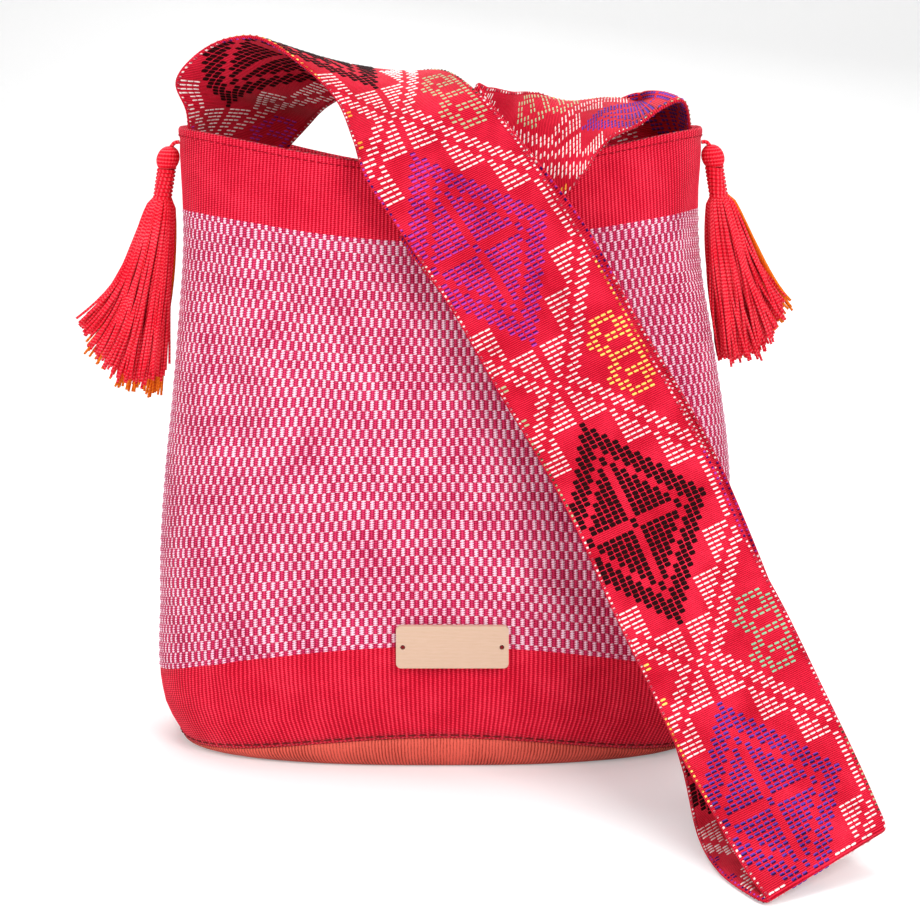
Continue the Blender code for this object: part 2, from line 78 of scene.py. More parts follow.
class Nodes:
    """A small builder of the node tree of a material or a world, around its one shader."""

    def __init__(self, owner: bpy.types.Material | bpy.types.World, shader: str = "Principled BSDF") -> None:
        """Starts on the tree's own shader.

        Args:
            owner: The material or world.
            shader: Name of its shader's node.
        """
        owner.use_nodes = True
        self.owner = owner
        self.tree = owner.node_tree
        self.shader = self.tree.nodes[shader]

    def feed(self, node: bpy.types.Node, inputs: dict[int | str, object]) -> None:
        """Links each input to a socket, or sets it to a value.

        Args:
            node: The node.
            inputs: Socket or value for each input.
        """
        for name, value in inputs.items():
            if isinstance(value, bpy.types.NodeSocket):
                self.tree.links.new(value, node.inputs[name])
            else:
                node.inputs[name].default_value = value

    def shade(self, inputs: dict[int | str, object]) -> None:
        """Links or sets inputs of the shader."""
        self.feed(self.shader, inputs)

    def node(
        self, kind: str, inputs: dict[int | str, object], output: int | str, operation: str = ""
    ) -> Socket:
        """Adds a node.

        Args:
            kind: Its type, without the prefix that all share.
            inputs: Socket or value for each input.
            output: The output that is wanted.
            operation: Its operation, where it has one.

        Returns:
            The output.
        """
        node = self.tree.nodes.new(f"ShaderNode{kind}")
        if operation:
            node.operation = operation
        self.feed(node, inputs)
        return node.outputs[output]

    def place(self, kind: str) -> Socket:
        """Coordinates of a kind, such as UV or Object."""
        return self.node("TexCoord", {}, kind)

    def noise(self, place: Socket, scale: float, detail: float) -> Socket:
        """Adds a noise.

        Args:
            place: Coordinates that it reads.
            scale: Its scale, in cells a metre.
            detail: Its octaves.

        Returns:
            Its factor, from 0 to 1.
        """
        return self.node("TexNoise", {"Scale": scale, "Detail": detail, "Vector": place}, "Fac")

    def maths(self, kind: str, first: Socket, second: float | Socket = 0.0) -> Socket:
        """Adds one operation on two values.

        Args:
            kind: Blender's name of the operation.
            first: First value.
            second: Second value, a socket or a number.

        Returns:
            The result.
        """
        return self.node("Math", {0: first, 1: second}, 0, kind)

    def wave(self, place: Socket, direction: Colour, period: float, shift: Socket) -> Socket:
        """Adds a sine along a direction.

        Args:
            place: Coordinates that it reads, in metres.
            direction: The way it runs.
            period: Its length, in metres.
            shift: A value added to its phase, in turns.

        Returns:
            The sine, from -1 to 1.
        """
        distance = self.node("VectorMath", {0: place, 1: direction}, "Value", "DOT_PRODUCT")
        turns = self.maths("ADD", self.maths("MULTIPLY", distance, 1 / period), shift)
        return self.maths("SINE", self.maths("MULTIPLY", turns, 2 * math.pi))

    def ramp(self, value: Socket, stops: tuple[tuple[float, Colour], ...]) -> Socket:
        """Adds a colour ramp.

        Args:
            value: Value that picks the colour.
            stops: Value and colour of each stop, the values rising.

        Returns:
            The colour.
        """
        low, high = stops[0][0], stops[-1][0]
        share = self.node("MapRange", {"From Min": low, "From Max": high, "Value": value}, "Result")
        colour = self.node("ValToRGB", {"Fac": share}, "Color")
        elements = colour.node.color_ramp.elements
        while len(elements) < len(stops):
            elements.new(0.5)
        for element, (at, tone) in zip(elements, stops):
            element.position = (at - low) / (high - low)
            element.color = (*tone, 1.0)
        return colour

    def bump(self, height: Socket, relief: float) -> Socket:
        """Adds a bump.

        Args:
            height: Height, from -1 to 1.
            relief: What a height of 1 measures, in metres.

        Returns:
            The normal that it bends.
        """
        return self.node("Bump", {"Distance": relief, "Height": height}, "Normal")


@dataclass(frozen=True)
class YarnFinish:
    """Dyed yarn, its threads drawn on the piece's own UV map, which is in metres, with painted shade in the
    grooves between threads and a painted highlight on their crowns.

    Args:
        name: Name of the material.
        colour: Its linear colour on the crown of a thread.
        groove_shade: Its linear colour between two threads, painted there as the groove's shade.
        thread: Distance from thread to thread along V, in metres.
        slant: How far a thread climbs for each metre along U.
        rib: Distance from rib to rib along U, in metres, or 0 for none.
        rib_shade: How strongly painted shade darkens the valleys between ribs, from 0 to 1.
        phase: Where the first crown lies, in threads.
        wobble: How far the threads wander, in threads.
        low: Height of the crown, from 0 to 1, at which the painted groove shade is reached.
        tip: Linear colour painted on the highest crowns as a highlight, or None for a little more than the
            colour.
        relief: Height of a thread, in metres.
        wander: Share by which the colour changes from thread to thread, and by which the crowns are painted
            lighter as a highlight where no highlight colour is given.
        patch: How much the tone changes over larger patches.
        roughness: Roughness of the surface.
        sheen: Weight of the fibres' sheen.
    """

    name: str
    colour: Colour
    # Colour painted between threads as the shade of the groove
    groove_shade: Colour
    thread: float = 0.0009
    slant: float = 0.25
    rib: float = 0.0
    rib_shade: float = 0.5
    phase: float = 0.25
    wobble: float = 0.5
    low: float = -0.1
    # Colour painted on the highest crowns as a highlight
    tip: Colour | None = None
    relief: float = 0.00012
    wander: float = 0.12
    patch: float = 1.1
    roughness: float = 0.75
    sheen: float = 0.08

    CLOUD_SCALE = 60.0
    WANDER_SCALE = 300.0
    FLECK_SCALE = 2400.0
    FLECK_WEIGHT = 1.3
    # Rib height below which the valleys between ribs are painted darker as shade
    VALLEY = 0.35
    # Crown height at which the painted highlight colour is reached
    BRIGHTEST = 1.35

    def material(self) -> bpy.types.Material:
        """Builds the finish.

        Returns:
            The new material.
        """
        nodes = Nodes(bpy.data.materials.new(self.name))

        def centred(place: Socket, scale: float, detail: float) -> Socket:
            """A noise from -0.5 to 0.5."""
            return nodes.maths("SUBTRACT", nodes.noise(place, scale, detail), 0.5)

        place = nodes.place("UV")
        cloud = centred(nodes.place("Object"), self.CLOUD_SCALE, 3.0)
        fleck = centred(place, self.FLECK_SCALE, 2.0)
        wander = centred(place, self.WANDER_SCALE, 1.0)
        shift = nodes.maths("ADD", nodes.maths("MULTIPLY", wander, self.wobble), self.phase)
        threads = nodes.wave(place, (-self.slant, 1.0, 0.0), self.thread, shift)
        height = nodes.maths("MULTIPLY", threads, 0.5)
        crown = nodes.maths("ADD", height, 0.5)
        if self.rib:
            quarter = nodes.maths("ADD", nodes.maths("MULTIPLY", wander, 0.1), 0.25)
            ribs = nodes.wave(place, (1.0, 0.0, 0.0), self.rib, quarter)
            height = nodes.maths("ADD", height, ribs)
            # Painted shade in the valleys between the ribs
            valley = nodes.maths("MULTIPLY", nodes.maths("SUBTRACT", ribs, self.VALLEY), self.rib_shade)
            crown = nodes.maths("ADD", crown, valley)
        crown = nodes.maths("ADD", crown, nodes.maths("MULTIPLY", fleck, self.FLECK_WEIGHT))
        crown = nodes.maths("ADD", crown, nodes.maths("MULTIPLY", cloud, self.patch))
        # The colour follows the crown's height: painted shade in the grooves, the yarn's colour on the flanks
        # and a painted highlight on top; flecks and patches shift it at random
        dark = tuple(channel * (1 - self.wander) for channel in self.colour)
        light = self.tip or tuple(min(1.0, channel * (1 + self.wander)) for channel in self.colour)
        stops = ((self.low, self.groove_shade), (self.low + 0.5, dark), (self.BRIGHTEST, light))
        nodes.shade({"Base Color": nodes.ramp(crown, stops), "Roughness": self.roughness})
        nodes.shade({"Normal": nodes.bump(nodes.maths("ADD", height, fleck), self.relief)})
        nodes.shade({"Sheen Weight": self.sheen, "Sheen Roughness": 0.35, "Specular IOR Level": 0.08})
        return nodes.owner


# Distance from rib to rib in the body's cloth, and from float to float along the strap, in metres
RIB = 0.00178
FLOAT_STEP = 0.00215625
# Shift, in floats, that puts the crown of the drawn thread on the middle of each float
FLOAT_PHASE = 0.1152
# Each yarn's second colour is painted shade in the grooves between its threads, and the colour given for the
# highest crowns is a painted highlight
RED = YarnFinish(
    "red_rib_yarn",
    (0.90, 0.007, 0.042),
    (0.42, 0.001, 0.014),
    thread=0.0010,
    rib=RIB,
    rib_shade=0.62,
    tip=(1.0, 0.060, 0.11),
    sheen=0.14,
)
CRIMSON = YarnFinish(
    "crimson_check_yarn",
    (0.66, 0.016, 0.085),
    (0.22, 0.002, 0.022),
    thread=0.0009,
    rib=RIB,
    rib_shade=0.4,
    tip=(0.86, 0.06, 0.19),
)
PALE = YarnFinish(
    "pale_check_yarn",
    (0.98, 0.60, 0.73),
    (0.56, 0.06, 0.17),
    thread=0.00112,
    rib=RIB,
    rib_shade=0.42,
    low=0.0,
    wander=0.05,
    tip=(1.0, 0.80, 0.88),
)
STRAP_RED = YarnFinish(
    "red_strap_yarn",
    (0.74, 0.005, 0.034),
    (0.38, 0.001, 0.010),
    thread=FLOAT_STEP * 0.4,
    slant=0.0,
    wobble=0.3,
    low=-0.05,
    patch=1.7,
    relief=0.0002,
    tip=(0.94, 0.032, 0.075),
)
TASSEL_RED = YarnFinish(
    "tassel_red_yarn",
    (0.96, 0.008, 0.034),
    (0.78, 0.004, 0.020),
    thread=0.0016,
    relief=0.00005,
    tip=(1.0, 0.15, 0.18),
)
TASSEL_ORANGE = YarnFinish(
    "tassel_orange_yarn", (0.98, 0.22, 0.012), (0.80, 0.12, 0.006), thread=0.0016, relief=0.00005, slant=0.7
)
CANVAS = YarnFinish(
    "rust_base_canvas", (0.78, 0.125, 0.090), (0.30, 0.030, 0.020), thread=0.0014, slant=0.0, relief=0.00022
)
SEAM_THREAD = YarnFinish("dark_seam_thread", (0.20, 0.016, 0.018), (0.06, 0.004, 0.006), thread=0.0006)
HEM_THREAD = YarnFinish("crimson_hem_thread", (0.42, 0.002, 0.018), (0.22, 0.001, 0.008), thread=0.0006)


@dataclass(frozen=True)
class WoodFinish:
    """Pale planed wood with its grain along X.

    Args:
        name: Name of the material.
        early: Linear colour between the grain lines.
        late: Linear colour of the grain lines.
        pitch: Distance from line to line, in metres.
        relief: Height of the grain, in metres.
    """

    name: str = "tag_maple"
    early: Colour = (0.665, 0.465, 0.345)
    late: Colour = (0.61, 0.41, 0.285)
    pitch: float = 0.0016
    relief: float = 0.00004

    def material(self) -> bpy.types.Material:
        """Builds the finish.

        Returns:
            The new material.
        """
        nodes = Nodes(bpy.data.materials.new(self.name))
        place = nodes.place("Object")
        stretched = nodes.node("Mapping", {"Scale": (0.12, 1.0, 1.0), "Vector": place}, "Vector")
        swirl = nodes.noise(stretched, 90.0, 3.0)
        lines = nodes.wave(place, (0.02, 0.0, 1.0), self.pitch, nodes.maths("MULTIPLY", swirl, 2.5))
        pores = nodes.noise(stretched, 1900.0, 2.0)
        grain = nodes.maths("ADD", nodes.maths("MULTIPLY", lines, 0.08), pores)
        colour = nodes.ramp(grain, ((0.1, self.late), (0.9, self.early)))
        nodes.shade({"Base Color": colour, "Normal": nodes.bump(grain, self.relief)})
        nodes.shade({"Roughness": 0.5, "Specular IOR Level": 0.35})
        return nodes.owner


class Piece:
    """Gathers the points, faces, finishes and UVs of one piece, in millimetres."""

    def __init__(self, name: str, finishes: list[YarnFinish]) -> None:
        """Starts an empty piece.

        Args:
            name: Name of the piece.
            finishes: Its finishes, one for each slot.
        """
        self.name = name
        self.finishes = finishes
        self.count = 0
        self.points: list[np.ndarray] = []
        self.flat: list[np.ndarray] = []
        self.faces: list[np.ndarray] = []
        self.slots: list[np.ndarray] = []

    def add(
        self, points: np.ndarray, flat: np.ndarray, faces: np.ndarray, slots: int | np.ndarray = 0
    ) -> None:
        """Adds points with faces of one size between them.

        Args:
            points: Places, in millimetres.
            flat: U and V of each point, in millimetres.
            faces: Indices into these points, one row a face.
            slots: Slot of each face, or of all.
        """
        self.points.append(points.reshape(-1, 3))
        self.flat.append(flat.reshape(-1, 2))
        self.join(faces + self.count, slots)
        self.count += len(self.points[-1])

    def join(self, faces: np.ndarray, slots: int | np.ndarray = 0) -> None:
        """Adds faces between points that are there already.

        Args:
            faces: Indices into the whole piece's points.
            slots: Slot of each face, or of all.
        """
        self.faces.append(faces)
        self.slots.append(np.broadcast_to(np.asarray(slots, np.int32), len(faces)))

    def build(self, wrap: float = 0.0) -> bpy.types.Object:
        """Makes the object, smooth and with its UV map in metres.

        Args:
            wrap: Length, in millimetres, at which U starts again, or 0 where it doesn't.

        Returns:
            The new object.
        """
        points = np.concatenate(self.points)
        flat = np.concatenate(self.flat)
        sizes = np.concatenate([np.full(len(faces), faces.shape[1]) for faces in self.faces])
        corners = np.concatenate([faces.ravel() for faces in self.faces]).astype(np.int32)
        starts = np.concatenate([[0], np.cumsum(sizes)[:-1]]).astype(np.int32)
        mesh = bpy.data.meshes.new(self.name)
        mesh.vertices.add(len(points))
        mesh.vertices.foreach_set("co", (points * MM).ravel())
        mesh.loops.add(len(corners))
        mesh.loops.foreach_set("vertex_index", corners)
        mesh.polygons.add(len(sizes))
        mesh.polygons.foreach_set("loop_start", starts)
        mesh.update(calc_edges=True)
        mesh.polygons.foreach_set("material_index", np.concatenate(self.slots))
        mesh.polygons.foreach_set("use_smooth", np.ones(len(sizes), bool))
        drawn = flat[corners]
        if wrap:
            face = np.repeat(np.arange(len(sizes)), sizes)
            highest = np.maximum.reduceat(drawn[:, 0], starts)[face]
            drawn[:, 0] += np.where(highest - drawn[:, 0] > wrap / 2, wrap, 0)
        layer = mesh.uv_layers.new(name="UVMap")
        layer.data.foreach_set("uv", (drawn * MM).ravel())
        for finish in self.finishes:
            mesh.materials.append(MATERIALS.of(finish))
        mesh.validate()
        mesh.update()
        obj = bpy.data.objects.new(self.name, mesh)
        bpy.context.scene.collection.objects.link(obj)
        return obj


class Materials:
    """Keeps one material for each finish."""

    def __init__(self) -> None:
        """Starts with none."""
        self.made: dict[str, bpy.types.Material] = {}

    def of(self, finish: YarnFinish | WoodFinish) -> bpy.types.Material:
        """The finish's material, made on its first use."""
        if finish.name not in self.made:
            self.made[finish.name] = finish.material()
        return self.made[finish.name]


MATERIALS = Materials()


def stand_for(piece: bpy.types.Object, body: str, node: str) -> None:
    """Puts a piece in the place of one of the frame's nodes.

    Args:
        piece: The piece.
        body: The body that it rides on.
        node: The node that it replaces.
    """
    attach(piece, body)
    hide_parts(node)


def grid_faces(rows: int, columns: int, around: bool = False) -> np.ndarray:
    """Quads of a grid of points, counted along its rows.

    Args:
        rows: Number of rows.
        columns: Number of points in a row.
        around: Whether the last point of a row joins its first.

    Returns:
        One row of four indices a face.
    """
    row = np.arange(rows - 1)[:, None] * columns
    step = np.arange(columns if around else columns - 1)[None, :]
    ahead = (step + 1) % columns
    quads = [row + step, row + ahead, row + columns + ahead, row + columns + step]
    return np.stack(quads, axis=-1).reshape(-1, 4)


def smooth_through(knots_x: np.ndarray, knots_y: np.ndarray, at: np.ndarray) -> np.ndarray:
    """Cubic curve through knots, level where the values turn.

    Args:
        knots_x: Where the knots are, rising.
        knots_y: Their values.
        at: Where to read the curve.

    Returns:
        The curve's values.
    """
    chord = np.diff(knots_y) / np.diff(knots_x)
    slope = np.concatenate([chord[:1], (chord[:-1] + chord[1:]) / 2, chord[-1:]])
    slope[1:-1][chord[:-1] * chord[1:] <= 0] = 0
    span = np.clip(np.searchsorted(knots_x, at, side="right") - 1, 0, len(knots_x) - 2)
    width = knots_x[span + 1] - knots_x[span]
    t = (at - knots_x[span]) / width
    rise = knots_y[span + 1] - knots_y[span]
    cubic = (slope[span] + slope[span + 1]) * width - 2 * rise
    square = 3 * rise - (2 * slope[span] + slope[span + 1]) * width
    return knots_y[span] + t * (slope[span] * width + t * (square + t * cubic))


def through_points(points: np.ndarray, samples: int) -> np.ndarray:
    """Smooth curve through points.

    Args:
        points: The points, along the first axis.
        samples: Steps in each span.

    Returns:
        The points of the curve, along the first axis.
    """
    ends = np.concatenate([2 * points[:1] - points[1:2], points, 2 * points[-1:] - points[-2:-1]])
    t = (np.arange(samples) / samples).reshape(-1, *[1] * (points.ndim - 1))
    spans = [
        0.5
        * (
            2 * start
            + (end - before) * t
            + (2 * before - 5 * start + 4 * end - after) * t**2
            + (3 * start - before - 3 * end + after) * t**3
        )
        for before, start, end, after in zip(ends[:-3], ends[1:-2], ends[2:-1], ends[3:])
    ]
    return np.concatenate([*spans, points[-1:]])


def tube(path: np.ndarray, radius: float, sides: int) -> tuple[np.ndarray, np.ndarray, np.ndarray]:
    """A closed tube round a path.

    Args:
        path: Its points, in millimetres.
        radius: Its radius, in millimetres.
        sides: Number of its sides.

    Returns:
        Its points, their U and V, and its quads.
    """
    along = np.gradient(path, axis=0)
    along /= np.linalg.norm(along, axis=1)[:, None]
    first = np.cross(along, np.where(np.abs(along[:, 1:2]) < 0.9, [[0.0, 1.0, 0.0]], [[1.0, 0.0, 0.0]]))
    first /= np.linalg.norm(first, axis=1)[:, None]
    second = np.cross(along, first)
    turn = np.arange(sides) * 2 * np.pi / sides
    ring = first[:, None] * np.cos(turn)[None, :, None] + second[:, None] * np.sin(turn)[None, :, None]
    points = path[:, None] + ring * radius
    closing = np.concatenate([path[:1, None].repeat(sides, 1), points, path[-1:, None].repeat(sides, 1)])
    distance = np.concatenate([[0], np.cumsum(np.linalg.norm(np.diff(path, axis=0), axis=1))])
    distance = np.concatenate([distance[:1], distance, distance[-1:]])
    flat = np.stack(np.broadcast_arrays(turn[None, :] * 0.5, distance[:, None]), axis=-1)
    return closing, flat, grid_faces(len(closing), sides, around=True)


@dataclass(frozen=True)
class Furrow:
    """A shallow valley in the cloth, from one place to another on the front or the rear.

    Args:
        start: X and Z where it starts, in millimetres.
        end: X and Z where it ends.
        depth: How deep it goes.
        width: How wide it is at half its depth.
        front: Whether it lies on the front.
    """

    start: tuple[float, float]
    end: tuple[float, float]
    depth: float
    width: float
    front: bool = True

    def press(self, x: np.ndarray, y: np.ndarray, z: np.ndarray) -> np.ndarray:
        """How far the furrow presses the cloth in at each place.

        Args:
            x: X of the places.
            y: Y of the places.
            z: Z of the places.

        Returns:
            Depths, in millimetres.
        """
        start, run = np.array(self.start), np.subtract(self.end, self.start)
        share = np.clip(((x - start[0]) * run[0] + (z - start[1]) * run[1]) / (run @ run), 0, 1)
        away = np.hypot(x - start[0] - share * run[0], z - start[1] - share * run[1])
        fade = np.sin(np.pi * np.clip(share * 0.9 + 0.05, 0, 1)) ** 0.7
        facing = np.clip((-y if self.front else y) / 30, 0, 1)
        return self.depth * fade * facing * np.exp(-((away / self.width) ** 2))


@dataclass(frozen=True)
class BagShape:
    """Form of the filled bag: its section at each level, its dipping rim and its lifted base seam."""

    levels: tuple[float, ...] = (0.0, 0.06, 0.24, 0.85, 1.0)
    widths: tuple[float, ...] = (247.0, 264.5, 266.0, 238.0, 239.0)
    depths: tuple[float, ...] = (132.0, 142.0, 150.0, 104.0, 88.0)
    rim: float = 287.0
    front_dip: float = 15.0
    rear_dip: float = 21.0
    seam: float = 2.6
    seam_lift: float = 13.0
    corner_power: float = 2.6
    cloth: float = 1.6
    swell: float = 6.5
    swell_level: float = 0.5
    furrows: tuple[Furrow, ...] = (
        Furrow((-84, 250), (-44, 140), 3.4, 10),
        Furrow((-106, 236), (-84, 120), 2.2, 9),
        Furrow((-30, 236), (-12, 176), 1.2, 9),
        Furrow((-104, 62), (-60, 22), 2.2, 8),
        Furrow((-118, 52), (-84, 14), 1.8, 7),
        Furrow((-96, 110), (-36, 66), 1.4, 12),
        Furrow((36, 120), (96, 60), 1.2, 11),
        Furrow((100, 240), (84, 150), 1.8, 10),
        Furrow((120, 262), (121, 214), 6.0, 9),
        Furrow((70, 262), (40, 120), 2.2, 13, False),
        Furrow((-84, 250), (-50, 96), 2.4, 12, False),
        Furrow((-8, 244), (6, 150), 1.6, 12, False),
        Furrow((104, 120), (40, 46), 1.4, 12, False),
    )

    def size(self, level: np.ndarray) -> tuple[np.ndarray, np.ndarray]:
        """Half width and half depth at a level, 0 at the base seam and 1 at the rim."""
        knots = np.array(self.levels)
        width = smooth_through(knots, np.array(self.widths), level)
        return width / 2, smooth_through(knots, np.array(self.depths), level) / 2

    def ring(self, level: float, count: int) -> np.ndarray:
        """Points spaced evenly round the section at a level, from its right end round by the rear.

        Args:
            level: The level.
            count: Number of points.

        Returns:
            X and Y of each point.
        """
        a, b = self.size(np.array(level))
        turn = np.linspace(0, 2 * np.pi, 1441)
        power = 2 / self.corner_power
        x = a * np.sign(np.cos(turn)) * np.abs(np.cos(turn)) ** power
        y = b * np.sign(np.sin(turn)) * np.abs(np.sin(turn)) ** power
        along = np.concatenate([[0], np.cumsum(np.hypot(np.diff(x), np.diff(y)))])
        at = np.arange(count) * along[-1] / count
        return np.stack([np.interp(at, along, x), np.interp(at, along, y)], axis=1)

    def swelling(self, levels: np.ndarray, x: np.ndarray) -> np.ndarray:
        """How far the filling pushes the right side out at each place, in millimetres."""
        near = np.clip((x - 50) / 70, 0, 1)
        return self.swell * near**2 * (3 - 2 * near) * np.exp(-(((levels - self.swell_level) / 0.24) ** 2))

    def side(self, z: np.ndarray, side: Side) -> np.ndarray:
        """Distance of the wall from the middle plane at a height, at one side of the bag."""
        level = np.clip((z - self.seam) / (self.rim - self.seam), 0, 1)
        half_width = self.size(level)[0]
        return half_width + (self.swelling(level, half_width) if side is Side.RIGHT else 0.0)

    def middle(self, x: np.ndarray, half_width: np.ndarray) -> np.ndarray:
        """How near a place is to the middle of the front or rear, from 0 at the sides to 1."""
        return np.clip(1 - (x / half_width) ** 2, 0, 1) ** 1.6

    def wall(self, levels: np.ndarray, out: np.ndarray | float, creased: bool = True) -> np.ndarray:
        """Places on the wall for a grid of rows and columns.

        Args:
            levels: Level of each point, rows by columns.
            out: How far the point stands out from the wall, in millimetres.
            creased: Whether the furrows press the wall in.

        Returns:
            Places, rows by columns by three.
        """
        count = levels.shape[1]
        table = np.stack([self.ring(level, count) for level in np.linspace(0, 1, 101)])
        step = np.roll(table, -1, axis=1) - np.roll(table, 1, axis=1)
        normals = np.stack([step[..., 1], -step[..., 0]], axis=-1)
        normals /= np.linalg.norm(normals, axis=-1, keepdims=True)
        at = np.clip(levels, 0, 1) * 100
        low = np.minimum(at.astype(int), 99)
        share = (at - low)[..., None]
        column = np.broadcast_to(np.arange(count), levels.shape)
        place = table[low, column] * (1 - share) + table[low + 1, column] * share
        normal = normals[low, column] * (1 - share) + normals[low + 1, column] * share
        x, y = place[..., 0], place[..., 1]
        middle = self.middle(x, self.size(np.clip(levels, 0, 1))[0])
        bottom = self.seam + self.seam_lift * middle
        top = self.rim - np.where(y < 0, self.front_dip, self.rear_dip) * middle
        z = bottom + levels * (top - bottom)
        out = np.broadcast_to(out, levels.shape) + self.swelling(levels, x)
        if creased:
            ease = np.clip(levels / 0.08, 0, 1) * np.clip((0.985 - levels) / 0.08, 0, 1)
            press = sum(furrow.press(x, y, z) for furrow in self.furrows)
            slack = 0.7 + 0.5 * np.sin(x / 17 + z / 23) * np.sin(z / 31 - x / 40 + 1)
            slack = slack + 0.3 * np.sin(x / 9 - z / 14)
            out = out - ease * (press + 0.6 * np.clip(slack, 0, None))
        return np.concatenate([place + normal * out[..., None], z[..., None]], axis=-1)


SHAPE = BagShape()


def stitch_row(name: str, finish: YarnFinish, level: float, count: int, radius: float) -> bpy.types.Object:
    """Makes one row of stitches round the bag, each sunk in the cloth at its ends.

    Args:
        name: Name of the piece.
        finish: Its yarn.
        level: Level of the row on the wall.
        count: Number of stitches.
        radius: Radius of the thread, in millimetres.

    Returns:
        The piece, riding on the bag.
    """
    row = SHAPE.wall(np.full((1, count * 8), level), radius * 0.65, creased=False)[0]
    piece = Piece(name, [finish])
    sunk = np.abs(np.linspace(-1, 1, 7)) ** 4
    for stitch in range(count):
        path = row[(stitch * 8 + np.arange(7)) % len(row)].copy()
        outward = np.column_stack([path[:, :2] / np.linalg.norm(path[:, :2], axis=1)[:, None], np.zeros(7)])
        piece.add(*tube(path - outward * sunk[:, None] * 0.7, radius, 6))
    thread = piece.build()
    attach(thread, BAG_BODY)
    return thread


@dataclass(frozen=True)
class WovenBody:
    """The tube of cloth: ribbed red bands, the check weave between them, and the turned hem.

    Args:
        periods: Number of pale cells round the bag.
        rows: Number of check rows.
        side_low: Level of the lower edge of the checks at the sides.
        middle_low: Its level at the middle of the front and rear.
        top: Level of their upper edge.
        hem: Share of the height that the hem takes.
        pale_share: Share of a period that a pale cell takes.
        pale_height: How far a pale cell stands out, in millimetres.
        crimson_depth: How far a crimson cell lies back.
        rib_height: Height of the ribs in the bands.
        period_flat: Length of a period on the flat cloth.
        height_flat: Height of the flat cloth.
        inner_levels: Levels of the rows inside the bag, from the rim down.
    """

    periods: int = 170
    rows: int = 46
    side_low: float = 0.108
    middle_low: float = 0.176
    top: float = 0.87
    hem: float = 0.014
    pale_share: float = 0.53
    pale_height: float = 0.34
    crimson_depth: float = 0.22
    rib_height: float = 0.22
    period_flat: float = 3.56
    height_flat: float = 285.0
    inner_levels: tuple[float, ...] = (0.97, 0.9, 0.8, 0.7, 0.58, 0.46, 0.34, 0.24, 0.15, 0.08, 0.03, 0.0)

    def columns(self) -> tuple[np.ndarray, np.ndarray]:
        """Where each column lies round the bag, as a share, and which of its period's four it is."""
        column = np.arange(self.periods * 4)
        which = column % 4
        edge = self.pale_share / 2
        shift = np.array([0.0, edge, 0.5, 1 - edge])[which]
        return (column // 4 + shift) / self.periods, which

    def build(self) -> bpy.types.Object:
        """Makes the cloth.

        Returns:
            The piece, riding on the bag.
        """
        share, which = self.columns()
        count = len(share)
        half_width = SHAPE.size(np.array(0.14))[0]
        ring = SHAPE.ring(0.14, count)
        low = self.side_low + (self.middle_low - self.side_low) * SHAPE.middle(ring[:, 0], half_width) ** 0.36
        rng = np.random.default_rng(5)
        heights = 1 + rng.uniform(-0.12, 0.12, self.rows)
        heights[[0, -1]] = 0.55
        edges = np.concatenate([[0], np.cumsum(heights)]) / heights.sum()
        turn = np.arange(count) * 2 * np.pi / count
        crown = np.where(which % 2 == 0, 1.0, -1.0)
        levels, out, slots = [], [], []

        def add_row(
            level: np.ndarray | float, stand: np.ndarray | float, slot: np.ndarray | int = 0
        ) -> None:
            """Adds a row at a level that stands out from the wall, its faces in a slot."""
            for rows, value in ((levels, level), (out, stand), (slots, slot)):
                rows.append(np.broadcast_to(value, count))

        rib = self.rib_height * crown * 0.5 - 0.1
        for band in (0.0, 0.12, 0.3, 0.5, 0.7, 0.88):
            add_row(low * band, rib * min(1.0, band * 6))
        for row in range(self.rows):
            pale, crimson = (0, 2) if row % 2 == 0 else (2, 0)
            slot = np.where(np.isin(which, (pale, (pale + 3) % 4)), 2, 1)
            waves = 0.0011 * np.sin(turn * 9 + row * 0.35) + 0.0009 * np.sin(turn * 17 - row * 0.22)
            sway = waves * math.sin(math.pi * row / self.rows)
            add_row(low + (self.top - low) * edges[row] + sway, -0.16, slot)
            stand = np.where(which == crimson, -self.crimson_depth, 0.0)
            stand = np.where(which == pale, self.pale_height, stand)
            add_row(low + (self.top - low) * (edges[row] + edges[row + 1]) / 2 + sway, stand, slot)
        for rise in (0.0, 0.03, 0.062, 0.092):
            add_row(self.top + rise, rib)
        hem_low = 1 - self.hem
        turned = ((hem_low - 0.004, -0.3), (hem_low, 0.1), (hem_low + 0.006, 0.3), (0.9965, 0.25))
        for level, stand in turned:
            add_row(level, stand + rib * 0.4)
        add_row(1.0, -0.3)
        levels = np.array(levels)
        outer = self.along_columns(SHAPE.wall(levels, np.array(out)), share * self.periods * 4)
        piece = Piece("woven_cloth", [RED, CRIMSON, PALE])
        around = self.period_flat * self.periods
        u = np.broadcast_to(share * around, levels.shape)
        flat = np.stack([u, levels * self.height_flat], axis=-1)
        faces = grid_faces(len(levels), count, around=True)
        piece.add(outer, flat, faces, np.concatenate(slots[:-1]))
        self.line(piece, count, around)
        cloth = piece.build(wrap=around)
        stand_for(cloth, BAG_BODY, "woven_body")
        stitch_row("hem_stitches", HEM_THREAD, 1 - self.hem + 0.001, 190, 0.3)
        return cloth

    def along_columns(self, places: np.ndarray, at: np.ndarray) -> np.ndarray:
        """Shifts the columns along the rows to their own spacing.

        Args:
            places: Places on evenly spaced columns.
            at: Fractional index of each column.

        Returns:
            The places moved along the rows.
        """
        ahead = np.roll(places, -1, axis=1) - places
        behind = places - np.roll(places, 1, axis=1)
        shift = (at - np.arange(places.shape[1]))[None, :, None]
        return places + np.where(shift > 0, ahead, behind) * shift

